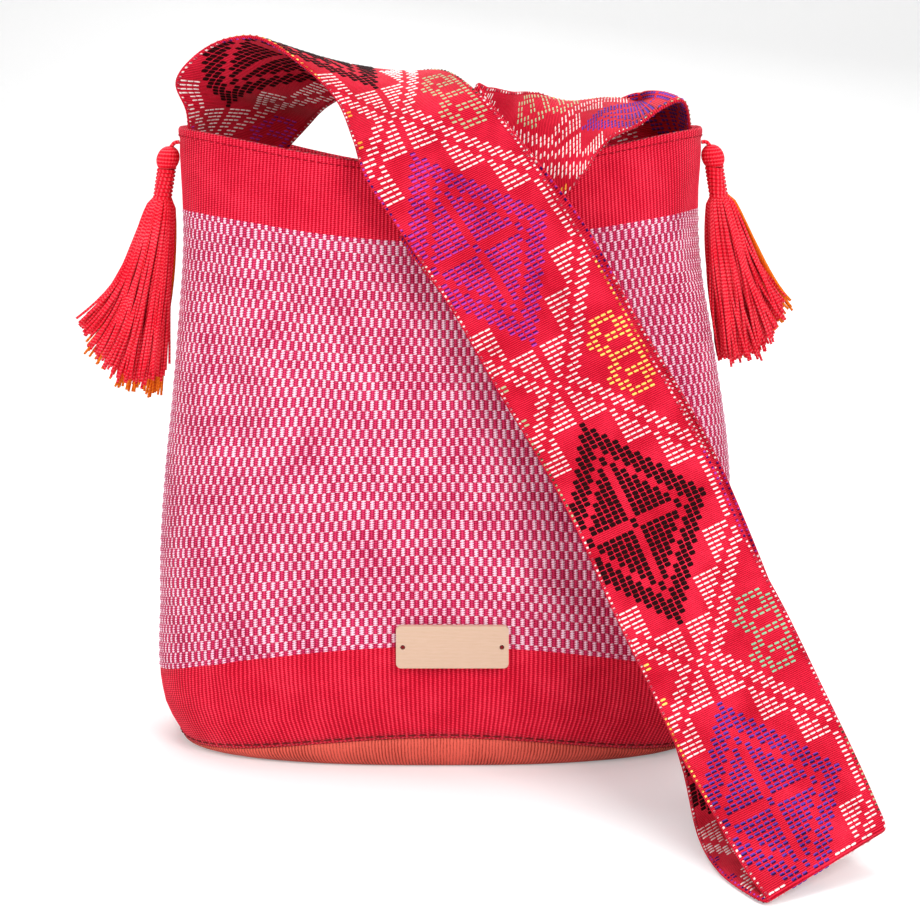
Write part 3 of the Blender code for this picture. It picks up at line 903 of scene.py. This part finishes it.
    def line(self, piece: Piece, count: int, around: float) -> None:
        """Adds the inside of the cloth, from the rim down to the base, on half as many columns.

        Args:
            piece: The piece, whose last row is the rim.
            count: Number of columns outside.
            around: Length of a row, in millimetres.
        """
        half, start = count // 2, piece.count
        levels = np.array(self.inner_levels)[:, None].repeat(half, 1)
        u = np.broadcast_to(np.arange(half) * around / half, levels.shape)
        flat = np.stack([u, (2 - levels) * self.height_flat], axis=-1)
        piece.add(SHAPE.wall(levels, -SHAPE.cloth), flat, grid_faces(len(levels), half, around=True))
        top, low = start - count, start + (len(levels) - 1) * half
        step = np.arange(half)
        ahead, even, last = (step + 1) % half, 2 * step, (2 * step + 2) % count
        for five in (
            [top + even, top + even + 1, top + last, start + ahead, start + step],
            [low + step, low + ahead, last, even + 1, even],
        ):
            piece.join(np.stack(five, axis=1))


@dataclass(frozen=True)
class BasePanel:
    """The canvas base, flat where it stands and rolled up to the seam, with its row of stitches."""

    width: float = 228.0
    depth: float = 114.0
    gap: float = 0.3
    canvas: float = 2.2
    count: int = 288
    stitches: int = 132
    around: float = 600.0

    def build(self) -> bpy.types.Object:
        """Makes the base and its stitches.

        Returns:
            The base, riding on the bag.
        """
        flat_ring = self.foot()
        rows = [flat_ring * share for share in (0.02, 0.35, 0.7, 0.92)]
        places = [np.column_stack([row, np.zeros(self.count)]) for row in rows]
        outside, inside = (0.15, 0.3, 0.45, 0.6, 0.75, 0.88, 1.0), (1.0, 0.7, 0.4, 0.1)
        for inset, turns in ((0.0, outside), (SHAPE.cloth, inside)):
            seam = SHAPE.wall(np.zeros((1, self.count)), -inset, creased=False)[0]
            seam[:, 2] -= self.gap
            floor = inset / SHAPE.cloth * self.canvas
            for turn in turns:
                out = math.sin(turn * math.pi / 2)
                up = 1 - math.cos(turn * math.pi / 2)
                place = flat_ring + (seam[:, :2] - flat_ring) * out
                places.append(np.column_stack([place, floor + np.maximum(seam[:, 2] - floor, 0) * up]))
        for share in (0.8, 0.4, 0.02):
            places.append(np.column_stack([flat_ring * share, np.full(self.count, self.canvas)]))
        grid = np.array(places)
        u = np.arange(self.count) * self.around / self.count
        v = np.concatenate([[0], np.cumsum(np.linalg.norm(np.diff(grid, axis=0), axis=-1).mean(axis=1))])
        flat = np.stack(np.broadcast_arrays(u[None, :], v[:, None]), axis=-1)
        piece = Piece("base_canvas", [CANVAS])
        piece.add(grid, flat[..., ::-1], grid_faces(len(grid), self.count, around=True))
        last = (len(grid) - 1) * self.count
        piece.join((last + np.arange(self.count))[None, :])
        piece.join(np.arange(self.count)[::-1][None, :])
        base = piece.build()
        stand_for(base, BAG_BODY, "base_panel")
        stitch_row("base_stitches", SEAM_THREAD, 0.006, self.stitches, 0.36)
        return base

    def foot(self) -> np.ndarray:
        """Points round the flat part of the base."""
        foot = BagShape(levels=(0.0, 1.0), widths=(self.width, self.width), depths=(self.depth, self.depth))
        return foot.ring(0.0, self.count)


class Figure(Enum):
    """Colour of a float in the strap, as its slot."""

    WHITE = 0
    PURPLE = 1
    DARK = 2
    OLIVE = 3
    GREEN = 4
    GOLD = 5
    ORANGE = 6
    VIOLET = 7


def float_finish(figure: Figure, colour: Colour, groove_shade: Colour, turn: float, low: float) -> YarnFinish:
    """Yarn of one colour for the floats, each float a single thread of it, with painted shade at its sides
    and a painted lit side.

    Args:
        figure: Colour of the float.
        colour: Linear colour on the float's crown.
        groove_shade: Linear colour painted at its sides as the shade beside the float.
        turn: How far the painted highlight is turned to one side of the float along the strap, giving a
            painted lit side and a painted shaded side, in floats.
        low: Height of the crown at which the painted side shade is reached.

    Returns:
        The finish.
    """
    return YarnFinish(
        f"{figure.name.lower()}_float_yarn",
        colour,
        groove_shade,
        thread=FLOAT_STEP,
        slant=0.0,
        # Shifting the phase puts the painted highlight on one side of each float and painted shade on the
        # other
        phase=FLOAT_PHASE - turn,
        wobble=0.1,
        low=low,
        wander=0.05,
        sheen=0.05,
    )


# Finish of each colour's floats, from its crown colour, the painted shade at its sides, how far its painted
# lit side is turned and the crown height where that shade is reached, and their size along and across the
# strap in millimetres
FLOATS: dict[Figure, tuple[YarnFinish, tuple[float, float]]] = {
    figure: (float_finish(figure, colour, groove_shade, turn, low), size)
    for figure, colour, groove_shade, turn, low, size in (
        (Figure.WHITE, (0.96, 0.80, 0.78), (0.40, 0.03, 0.06), 0.05, 0.33, (1.0, 2.8)),
        (Figure.PURPLE, (0.54, 0.052, 0.44), (0.040, 0.004, 0.09), 0.2, 0.4, (1.62, 2.7)),
        (Figure.DARK, (0.016, 0.0008, 0.002), (0.008, 0.0005, 0.001), 0.0, 0.0, (2.3, 2.85)),
        (Figure.OLIVE, (0.52, 0.52, 0.30), (0.06, 0.03, 0.02), 0.0, 0.28, (1.2, 2.4)),
        (Figure.GREEN, (0.30, 0.58, 0.36), (0.03, 0.05, 0.03), 0.0, 0.28, (1.2, 2.4)),
        (Figure.GOLD, (0.98, 0.72, 0.16), (0.50, 0.10, 0.02), 0.0, 0.28, (1.2, 2.4)),
        (Figure.ORANGE, (0.95, 0.42, 0.06), (0.45, 0.06, 0.01), 0.0, 0.28, (1.2, 2.4)),
        (Figure.VIOLET, (0.15, 0.045, 0.40), (0.020, 0.002, 0.035), -0.12, 0.42, (1.75, 2.6)),
    )
}


@dataclass(frozen=True)
class StrapPattern:
    """Where the floats lie on the strap's lattice of pairs along it and rows across it.

    Args:
        first: Place of the first whole diamond's centre along the strap, in millimetres.
        pitch: Distance from diamond to diamond.
        row_pitch: Distance from row to row across the strap.
        centre_line: Place of the diamonds' centres across the strap.
        rows: First and last row.
        diamonds: Colours of the diamonds, in turn.
        edge_beta: Colours of the figures at the far edge, in turn.
        edge_alpha: Colours of those at the near edge.
    """

    PAIRS = 32
    EDGE_LINES = {
        7: (2,),
        8: (1, 2, 3),
        9: (0, 1, 3, 4),
        10: (0, 2, 4),
        11: (0, 2, 4),
        12: (0, 2, 3, 4),
        13: (0, 1, 2, 3),
    }

    first: float = 98.4
    pitch: float = 138.0
    row_pitch: float = 2.96
    centre_line: float = 23.8
    rows: tuple[int, int] = (-7, 13)
    diamonds: tuple[Figure, ...] = (Figure.DARK, Figure.PURPLE, Figure.DARK, Figure.VIOLET)
    edge_beta: tuple[Figure, ...] = (Figure.OLIVE, Figure.GOLD, Figure.GREEN)
    edge_alpha: tuple[Figure, ...] = (Figure.ORANGE, Figure.OLIVE, Figure.GOLD)

    def in_diamond(self, p: int, r: int) -> bool:
        """Whether a diamond has a float p pairs along and r rows across from its centre."""
        p, r = abs(p), abs(r)
        n = p + r
        if 9 <= n <= 11 or n == 0 or (p, r) in ((7, 0), (0, 7)):
            return True
        return n <= 7 and p >= 1 and r >= 1

    def is_white(self, q: int, r: int) -> bool:
        """Whether a white float lies q pairs and r rows from a midpoint between diamonds."""
        q, r = abs(q), abs(r)
        if r == 0 or r == 2 and q == 0:
            return q == 0
        blocks = r <= q <= 4 * math.ceil(r / 4)
        return blocks or (r >= 3 and q in (r - 3, r - 2))

    def at_edge(self, q: int, r: int) -> bool:
        """Whether a coloured float of the edge figure lies q pairs and r rows from a midpoint."""
        return abs(q) in self.EDGE_LINES.get(abs(r), ())

    def floats(self, length: float) -> list[tuple[float, float, Figure]]:
        """All floats of the strap.

        Args:
            length: Length of the strap, in millimetres.

        Returns:
            Where each lies along and across the strap, and its colour.
        """
        pair, middle = self.pitch / self.PAIRS, self.PAIRS // 2
        found = []
        for number in range(-1, math.ceil(length / self.pitch) + 1):
            centre = self.first + number * self.pitch
            diamond = self.diamonds[number % len(self.diamonds)]
            for p in range(-middle, middle):
                q = p - middle if p >= 0 else p + middle
                cell = number if p >= 0 else number - 1
                for r in range(self.rows[0], self.rows[1] + 1):
                    colour = None
                    if self.in_diamond(p, r):
                        colour = diamond
                    elif self.at_edge(q, r):
                        edge = self.edge_beta if r > 0 else self.edge_alpha
                        colour = edge[cell % 3]
                    elif self.is_white(q, r):
                        colour = Figure.WHITE
                    if colour is None:
                        continue
                    across = self.centre_line + r * self.row_pitch
                    for half in (-0.25, 0.25):
                        found.append((centre + (p + half) * pair, across, colour))
        return found


class ShoulderStrap:
    """The double-woven strap and its figures.

    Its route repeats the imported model's: the near or left edge, the far or right edge, and the bow.
    Small floats run along both edges, EDGE_STEP apart, and change colour every EDGE_RUN.
    """

    WIDTH = 66.0
    CLOTH = 1.55
    SEWN_GAP = 1.8
    SEWN_START = -8.0
    SEWN_LEVELS = (0.885, 0.915, 0.95)
    SAMPLES = 12
    EDGE_STEP = 2.6
    EDGE_RUN = 46.0
    EDGE_RUNS = (0, 0, 5, 0, 1, 0, 0, 3)
    ROUTE = (
        (-115, -11, 293, -62, 24, 286, 8), (-119, -17, 307, -54, 12, 294, 4),
        (-111, -22, 318, -46, 7, 299, 2), (-97, -27, 326, -37, 6, 303, 1),
        (-80, -31, 327, -25, 5, 306, 0), (-62, -37, 316, -11, -6, 311, 0),
        (-46, -44, 301, 4, -33, 312, 0), (-38, -54, 284, 17, -59, 304, 0),
        (-32, -62, 267, 28, -65, 292, 0), (-17, -70, 245, 41, -68, 275, 0),
        (5, -75, 212, 63, -67, 242, 0), (26, -83, 176, 85, -71, 204, 0),
        (44, -91, 147, 103, -79, 174, 0), (59, -102, 120, 119, -89, 145, 0),
        (74, -118, 88, 133, -108, 115, 0), (87, -139, 63, 146, -131, 91, 0),
        (99, -166, 40, 158, -151, 66, 0), (111, -193, 22, 169, -170, 43, 0),
        (121, -215, 8, 176, -183, 27, 0), (127, -228, 2.4, 179, -190, 18, 0),
        (122, -222, 1.4, 174, -184, 16, 0), (112, -196, 1.4, 166, -162, 18, 0),
        (107, -160, 4, 162, -130, 26, 0), (104, -122, 20, 161, -101, 46, 0),
        (95, -98, 46, 152, -82, 75, 0), (80, -86, 80, 139, -76, 108, 0),
        (63, -81, 116, 124, -73, 142, 0), (46, -78, 148, 108, -71, 172, 0),
        (26, -74, 180, 87, -65, 206, 0), (5, -69, 212, 62, -60, 250, 0),
        (-15, -63, 238, 20, -55, 303, 0), (-12, -57, 240, 22, -49, 306, 0),
        (22, -55, 244, 32, -42, 304, 0), (42, -53, 251, 42, -22, 303, 9),
        (58, -54, 262, 58, -6, 298, 13), (73, -49, 282, 76, 12, 299, 4),
        (88, -36, 289, 89, 24, 298, 1), (101, -27, 297, 92, 32, 296, 2),
        (111, -17, 297, 79, 31, 294, 6),
    )

    def __init__(self) -> None:
        """Lays the strap's middle surface and measures along it."""
        border = np.array([0, 0.6, 1.2, 1.65, 2.1, 3.2])
        across = np.array([*border, *np.linspace(6, 60, 19), 62.8, 63.9, 64.35, 64.8, 65.4, self.WIDTH])
        self.across = across
        share = across / self.WIDTH * 2 - 1
        near, far, bow = np.split(np.array(self.ROUTE, float), (3, 6), axis=1)
        way = np.gradient((near + far) / 2, axis=0)
        outward = np.cross(way, far - near)
        outward /= np.linalg.norm(outward, axis=1)[:, None]
        free = (
            (near + far)[:, None] / 2
            + (far - near)[:, None] / 2 * share[None, :, None]
            + outward[:, None] * (bow * (1 - share**2))[..., None]
        )
        left = [self.sewn(Side.LEFT, level) for level in self.SEWN_LEVELS]
        right = [self.sewn(Side.RIGHT, level) for level in reversed(self.SEWN_LEVELS)]
        self.surface = through_points(np.concatenate([left, free, right]), self.SAMPLES)
        middle = self.surface[:, len(across) // 2]
        self.along = np.concatenate([[0], np.cumsum(np.linalg.norm(np.diff(middle, axis=0), axis=1))])
        along_way = np.gradient(self.surface, axis=0)
        across_way = np.gradient(self.surface, axis=1)
        self.normals = np.cross(along_way, across_way)
        self.normals /= np.linalg.norm(self.normals, axis=-1, keepdims=True)

    def sewn(self, side: Side, level: float) -> np.ndarray:
        """One row of the strap's end against the inside of the mouth.

        Args:
            side: The end's side of the bag.
            level: Its level on the wall.

        Returns:
            Places from edge to edge.
        """
        count = 720
        inset = -(SHAPE.cloth + self.SEWN_GAP + 1.0)
        ring = SHAPE.wall(np.full((1, count), level), inset, creased=False)[0]
        step = np.linalg.norm(ring[1] - ring[0])
        at = (self.SEWN_START + self.across) / step
        at = at if side is Side.RIGHT else count / 2 - at
        steps = np.arange(count)
        places = [np.interp(at, steps, ring[:, axis], period=count) for axis in range(3)]
        return np.stack(places, axis=1)

    def at(self, along: np.ndarray, across: np.ndarray) -> tuple[np.ndarray, np.ndarray]:
        """Places on the middle surface and its outer normals there.

        Args:
            along: Distances along the strap.
            across: Distances from its near edge.

        Returns:
            Places and normals, one a point.
        """
        row = np.interp(along, self.along, np.arange(len(self.along)))
        column = np.interp(across, self.across, np.arange(len(self.across)))
        low_row = np.minimum(row.astype(int), len(self.along) - 2)
        low_column = np.minimum(column.astype(int), len(self.across) - 2)
        t, s = (row - low_row)[..., None], (column - low_column)[..., None]
        found = []
        for grid in (self.surface, self.normals):
            low = grid[low_row, low_column] * (1 - s) + grid[low_row, low_column + 1] * s
            high = grid[low_row + 1, low_column] * (1 - s) + grid[low_row + 1, low_column + 1] * s
            found.append(low * (1 - t) + high * t)
        return found[0], found[1]

    def build(self) -> None:
        """Makes the strap's cloth and the figures on both of its faces."""
        thickness = np.full(len(self.across), self.CLOTH / 2)
        thickness[[0, -1]] = 0.12
        thickness[[1, -2]] = self.CLOTH / 2 * 0.85
        thickness[[3, -4]] = self.CLOTH / 2 - 0.32
        top = self.surface + self.normals * thickness[None, :, None]
        under = self.surface - self.normals * thickness[None, :, None]
        around = np.concatenate([top, under[:, ::-1]], axis=1)
        flat_across = np.concatenate([self.across, 2 * self.WIDTH - self.across[::-1]])
        flat = np.stack(np.broadcast_arrays(flat_across[None, :], self.along[:, None]), axis=-1)
        piece = Piece("strap_cloth", [STRAP_RED])
        faces = grid_faces(len(self.along), around.shape[1], around=True)
        piece.add(around, flat, faces[:, ::-1])
        wide = around.shape[1]
        piece.join(np.arange(wide)[None, :])
        piece.join(((len(self.along) - 1) * wide + np.arange(wide))[::-1][None, :])
        cloth = piece.build()
        stand_for(cloth, BAG_BODY, "shoulder_strap")
        figures = self.figures()
        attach(figures, BAG_BODY)

    def figures(self) -> bpy.types.Object:
        """Makes the floats as small pillows on both faces.

        Returns:
            The piece.
        """
        chosen = StrapPattern().floats(float(self.along[-1]))
        rng = np.random.default_rng(7)
        piece = Piece("strap_figures", [finish for finish, _ in FLOATS.values()])
        along = np.array([place[0] for place in chosen])
        across = np.array([place[1] for place in chosen])
        colour = np.array([place[2].value for place in chosen])
        sizes = np.array([FLOATS[place[2]][1] for place in chosen])
        inside = (along > 3) & (along < self.along[-1] - 3)
        inside &= (across > 2.4) & (across < self.WIDTH - 2.4)
        along, across, colour, sizes = along[inside], across[inside], colour[inside], sizes[inside]
        steps = np.arange(4.0, self.along[-1] - 4.0, self.EDGE_STEP)
        edge = np.concatenate([steps, steps + self.EDGE_STEP / 2])
        edge_across = np.repeat([0.95, self.WIDTH - 0.95], len(steps))
        runs = np.array(self.EDGE_RUNS)
        edge_colour = runs[((edge + edge_across * 3) // self.EDGE_RUN).astype(int) % len(runs)]
        along = np.concatenate([along + rng.normal(0, 0.06, len(along)), edge])
        across = np.concatenate([across + rng.normal(0, 0.06, len(across)), edge_across])
        colour = np.concatenate([colour, edge_colour])
        sizes = np.concatenate([sizes, np.full((len(edge), 2), (1.25, 1.0))])
        edge_figure = (colour > Figure.DARK.value) & (colour < Figure.VIOLET.value)
        reverse = np.where(edge_figure, Figure.PURPLE.value, colour)
        self.pillows(piece, along, across, colour, sizes, 1)
        self.pillows(piece, along, across, reverse, sizes, -1)
        return piece.build()

    def pillows(
        self,
        piece: Piece,
        along: np.ndarray,
        across: np.ndarray,
        colour: np.ndarray,
        sizes: np.ndarray,
        face: int,
    ) -> None:
        """Adds the floats of one face.

        Args:
            piece: The piece.
            along: Where each lies along the strap.
            across: Where it lies across the strap.
            colour: Its slot.
            sizes: Its size along and across the strap.
            face: 1 for the outer face and -1 for the inner one.
        """
        steps_along = np.array([-1.0, 0.0, 1.0])
        steps_across = np.array([-1.0, -0.72, 0.0, 0.72, 1.0])
        a, c = np.meshgrid(steps_along, steps_across, indexing="ij")
        a, c = a.ravel(), c.ravel()
        narrow = np.where(np.abs(c) == 1.0, 0.55, 1.0)
        crown = np.where((np.abs(a) < 0.5) & (np.abs(c) < 0.9), np.where(c == 0, 0.42, 0.32), -0.08)
        s = along[:, None] + sizes[:, :1] / 2 * (a * narrow)[None, :]
        w = np.clip(across[:, None] + sizes[:, 1:] / 2 * c[None, :], 0.2, self.WIDTH - 0.2)
        place, normal = self.at(s, w)
        stand = np.broadcast_to(self.CLOTH / 2 + crown, s.shape)
        points = place + normal * stand[..., None] * face
        quads = grid_faces(3, 5)
        quads = quads[:, ::-1] if face < 0 else quads
        faces = (quads[None] + (np.arange(len(along)) * 15)[:, None, None]).reshape(-1, 4)
        piece.add(points, np.stack([w, s], axis=-1), faces, np.repeat(colour, len(quads)))


@dataclass(frozen=True)
class WoodTag:
    """The bare wooden tag and the thread that holds it."""

    edge: float = 0.5

    def build(self) -> None:
        """Rounds the tag's edges and gives the tag and its stitches their finishes."""
        tag = bpy.data.objects["wood_tag"]
        rounding = tag.modifiers.new("rounded_edges", "BEVEL")
        rounding.width = self.edge * MM
        rounding.segments = 3
        rounding.limit_method = "ANGLE"
        rounding.angle_limit = math.radians(50)
        for slot in tag.material_slots:
            slot.material = MATERIALS.of(WoodFinish())
        for side in Side:
            stitch = bpy.data.objects[f"{side.word}_tag_stitch"]
            for slot in stitch.material_slots:
                slot.material = MATERIALS.of(SEAM_THREAD)


@dataclass(frozen=True)
class Tassel:
    """A tassel at one side: its cord, its looped head, its wrapped neck and its strands.

    Args:
        side: The side of the bag.
        strands: Number of red strands.
        orange: Number of orange strands.
        seed: Seed of their scatter.
        root: Distance of the cord's seam from the middle of the bag, in millimetres.
        out: Distance from the seam out to the knot.
        lean: How far the axis leans out over its reach.
        curl: How much further it curls out at its end.
        top: Height of the axis' start.
        knot: Height of the knot.
        neck: Height of the wrapped neck.
        skirt: Length of the red strands below the neck.
        longer: How much longer the orange ones are.
        flare: How far the outer strands spread near their ends.
        reach: Length over which the axis leans.
    """

    side: Side
    strands: int = 400
    orange: int = 60
    seed: int = 3
    root: float = 119.34
    out: float = 5.4
    lean: float = 17.0
    curl: float = 6.0
    top: float = 275.5
    knot: float = 8.0
    neck: float = 15.0
    skirt: float = 80.0
    longer: float = 9.0
    flare: float = 15.0
    reach: float = 107.0

    def axis(self, drop: np.ndarray | float) -> np.ndarray:
        """Middle of the tassel at a drop below its cord.

        Args:
            drop: The drop, in millimetres.

        Returns:
            The place.
        """
        drop = np.asarray(drop, float)
        share = drop / self.reach
        x = self.root + self.out + self.lean * share + self.curl * share**2
        return np.stack([self.side.value * x, np.zeros_like(drop), self.top - drop], axis=-1)

    def build(self) -> None:
        """Makes the tassel's pieces and lets them ride on its body."""
        word = self.side.word
        cord = Piece(f"{word}_tassel_loop", [TASSEL_RED])
        start = np.array([self.side.value * (self.root + 0.6), 0.0, 279.8])
        knot = self.axis(0.0)
        path = through_points(np.array([start, (start + knot) / 2 + (0, 0, 1.6), knot + (0, 0, 0.4)]), 8)
        for lift in (-0.9, 0.9):
            cord.add(*tube(path + (0, lift, 0), 0.85, 8))
        self.place(cord, "cord")
        self.place(self.head(), "knot")
        self.place(self.wrap(), "wrap")
        red, orange = self.strand_pieces()
        self.place(red, "strands")
        self.place(orange, "understrands", slot="orange_yarn")

    def place(self, piece: Piece, node: str, slot: str = "red_yarn") -> None:
        """Makes a piece that stands for one of the tassel's nodes.

        Args:
            piece: The piece.
            node: Ending of the node's name.
            slot: Its slot in the record; not used.
        """
        obj = piece.build()
        tassel = f"{self.side.word}_tassel"
        stand_for(obj, tassel, f"{tassel}_{node}")

    def beside(self, drop: np.ndarray, radius: np.ndarray | float, turn: np.ndarray | float) -> np.ndarray:
        """Places at a distance from the axis.

        Args:
            drop: Their drop below the cord.
            radius: Their distance from the axis.
            turn: The angle at which they lie round it.

        Returns:
            The places.
        """
        path = self.axis(drop)
        path[:, 0] += radius * np.cos(turn)
        path[:, 1] += radius * np.sin(turn)
        return path

    def head(self) -> Piece:
        """The strands that loop over the knot.

        Returns:
            The piece.
        """
        piece = Piece(f"{self.side.word}_tassel_head", [TASSEL_RED])
        turns = 20
        rise = np.linspace(0, math.pi * 0.8, 10)
        for number in range(turns):
            turn = number * 2 * math.pi / turns
            radius = 4.3 * (0.1 + 0.95 * np.sin(rise))
            drop = (self.knot + 2.0) / 2 * (1 - np.cos(rise)) - 1.6
            piece.add(*tube(self.clear(self.beside(drop, radius, turn)), 0.85, 6))
        return piece

    def wrap(self) -> Piece:
        """The thread wound round the neck.

        Returns:
            The piece.
        """
        piece = Piece(f"{self.side.word}_tassel_coil", [TASSEL_RED])
        turns = 9
        turn = np.linspace(0, turns * 2 * np.pi, turns * 22)
        drop = self.knot - 0.4 + (self.neck + 0.8) * turn / turn[-1]
        piece.add(*tube(self.beside(drop, 3.6, turn), 0.9, 7))
        return piece

    def clear(self, path: np.ndarray) -> np.ndarray:
        """Keeps a strand's path just outside the bag's wall."""
        wall = SHAPE.side(path[:, 2], self.side) + 1.1
        path[:, 0] = self.side.value * np.maximum(path[:, 0] * self.side.value, wall)
        return path

    def strand_pieces(self) -> tuple[Piece, Piece]:
        """The hanging strands.

        Returns:
            The red ones and the orange ones.
        """
        rng = np.random.default_rng(self.seed)
        red = Piece(f"{self.side.word}_tassel_red_strands", [TASSEL_RED])
        orange = Piece(f"{self.side.word}_tassel_orange_strands", [TASSEL_ORANGE])
        for number in range(self.strands + self.orange):
            is_orange = number >= self.strands
            turn = rng.uniform(0, 2 * math.pi)
            reach = math.sqrt(rng.uniform(0.02, 1.0))
            if is_orange:
                span = (0.15, 0.85) if self.side is Side.LEFT else (0.0, 0.6)
                turn = rng.uniform(*span) * math.pi
                reach = rng.uniform(0.85, 1.15)
            across, deep = reach * math.cos(turn), reach * math.sin(turn)
            strand = self.strand(across, deep, rng, is_orange)
            (orange if is_orange else red).add(*strand)
        return red, orange

    def strand(
        self, across: float, deep: float, rng: np.random.Generator, long: bool
    ) -> tuple[np.ndarray, np.ndarray, np.ndarray]:
        """One hanging strand.

        Args:
            across: Where it ends across the tassel, from -1 next to the bag to 1.
            deep: Where it ends from front to rear, from -1 to 1.
            rng: Source of its scatter.
            long: Whether it reaches past the others.

        Returns:
            Its points, their U and V, and its quads.
        """
        t = np.linspace(0, 1, 15)
        length = self.skirt * (1 - 0.34 * max(0.0, across) ** 1.3) + rng.normal(0, 1.8)
        length += self.longer if long else 0
        drop = self.knot + self.neck - 3 + (length + 3) * t
        path = self.axis(drop)
        sway = rng.uniform(0.5, 2.4)
        phase = rng.uniform(0, 2 * math.pi)
        flare = self.flare if across > 0 else 4.0
        path[:, 0] += self.side.value * across * (2.9 + 9.6 * t**0.42 + 1.5 * t + flare * t**3.4)
        path[:, 0] += sway * t * np.sin(phase + 5 * t)
        forward = -6.0 * max(0.0, -across) * t**1.5
        path[:, 1] += deep * (2.9 + 9.5 * t**0.42 + 3 * t) + forward + sway * 0.6 * t * np.cos(phase + 6 * t)
        points, flat, faces = tube(self.clear(path), 0.62, 5)
        return points, flat + rng.uniform(0, 90, 2), faces


@dataclass(frozen=True)
class Studio:
    """Pale floor and backdrop, soft lamps, and the camera at the photograph's angle."""

    eye: tuple[float, float, float] = (0.009, -1.065, 0.335)
    tilt: float = 79.16
    lens: float = 90.0
    floor_glow: float = 0.26
    room_light: float = 0.36
    aim: tuple[float, float, float] = (0.0, -0.03, 0.15)

    # Name, place in metres, side in metres and power in watts of each lamp
    LAMPS = (
        ("key", (0.75, -1.3, 1.0), 0.8, 17.0),
        ("fill", (-1.2, -1.2, 0.75), 1.2, 14.0),
        ("top", (-0.1, 0.35, 1.8), 1.3, 23.0),
        ("rear", (0.3, 1.7, 1.2), 1.5, 14.0),
    )

    def build(self) -> None:
        """Makes the stage, the lamps, the world and the camera."""
        self.stage()
        for lamp in self.LAMPS:
            self.lamp(*lamp)
        world = Nodes(bpy.data.worlds.new("soft_room"), "Background")
        seen = world.node("LightPath", {}, "Is Camera Ray")
        glow = world.node("MapRange", {"To Min": self.room_light, "To Max": 1.0, "Value": seen}, "Result")
        world.shade({"Color": (1.0, 1.0, 1.0, 1.0), "Strength": glow})
        bpy.context.scene.world = world.owner
        bpy.context.scene.view_settings.view_transform = "Standard"
        camera_data = bpy.data.cameras.new("photo_camera")
        camera_data.lens = self.lens
        camera_data.sensor_width = 36.0
        camera = bpy.data.objects.new("photo_camera", camera_data)
        camera.location = self.eye
        camera.rotation_euler = (math.radians(self.tilt), 0.0, 0.0)
        bpy.context.scene.collection.objects.link(camera)
        bpy.context.scene.camera = camera

    def stage(self) -> None:
        """Makes the floor, which curves up behind into a backdrop."""
        profile = [(-3.0, 0.0), (1.6, 0.0)]
        bend = np.linspace(0.15, math.pi / 2, 9)
        profile += [(1.6 + 0.8 * math.sin(a), 0.8 - 0.8 * math.cos(a)) for a in bend]
        profile.append((2.4, 4.0))
        points = [(x, y, z) for y, z in profile for x in (-4.0, 4.0)]
        faces = [(2 * i, 2 * i + 1, 2 * i + 3, 2 * i + 2) for i in range(len(profile) - 1)]
        mesh = bpy.data.meshes.new("studio_floor")
        mesh.from_pydata(points, [], faces)
        mesh.polygons.foreach_set("use_smooth", [True] * len(faces))
        paper = Nodes(bpy.data.materials.new("studio_paper"))
        seen = paper.node("LightPath", {}, "Is Camera Ray")
        paper.shade({"Emission Strength": paper.maths("MULTIPLY", seen, self.floor_glow)})
        paper.shade({"Emission Color": (1.0, 1.0, 1.0, 1.0), "Base Color": (0.8, 0.8, 0.8, 1.0)})
        paper.shade({"Roughness": 0.9, "Specular IOR Level": 0.0})
        mesh.materials.append(paper.owner)
        floor = bpy.data.objects.new("studio_floor", mesh)
        bpy.context.scene.collection.objects.link(floor)

    def lamp(self, name: str, place: tuple[float, float, float], size: float, power: float) -> None:
        """Makes a square lamp that faces the bag.

        Args:
            name: Its name.
            place: Where it hangs, in metres.
            size: Its side, in metres.
            power: Its power, in watts.
        """
        data = bpy.data.lights.new(name, "AREA")
        data.size = size
        data.energy = power
        lamp = bpy.data.objects.new(name, data)
        lamp.location = place
        aim = np.array(self.aim) - place
        lamp.rotation_euler = (
            math.acos(-aim[2] / np.linalg.norm(aim)),
            0.0,
            math.atan2(aim[1], aim[0]) - math.pi / 2,
        )
        bpy.context.scene.collection.objects.link(lamp)


def corners(box: object) -> list[list[float]]:
    """The two corners of a box as plain lists."""
    return [[float(value) for value in corner] for corner in box]


def main() -> None:
    """Builds the whole scene around the frame."""
    logging.basicConfig(level=logging.INFO, format="%(name)s: %(message)s")
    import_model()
    BasePanel().build()
    WovenBody().build()
    ShoulderStrap().build()
    WoodTag().build()
    Tassel(Side.LEFT, seed=3).build()
    Tassel(Side.RIGHT, seed=11, top=276.3, skirt=71.0, longer=4.0, flare=8.0).build()
    Studio().build()


if __name__ == "__main__":
    main()
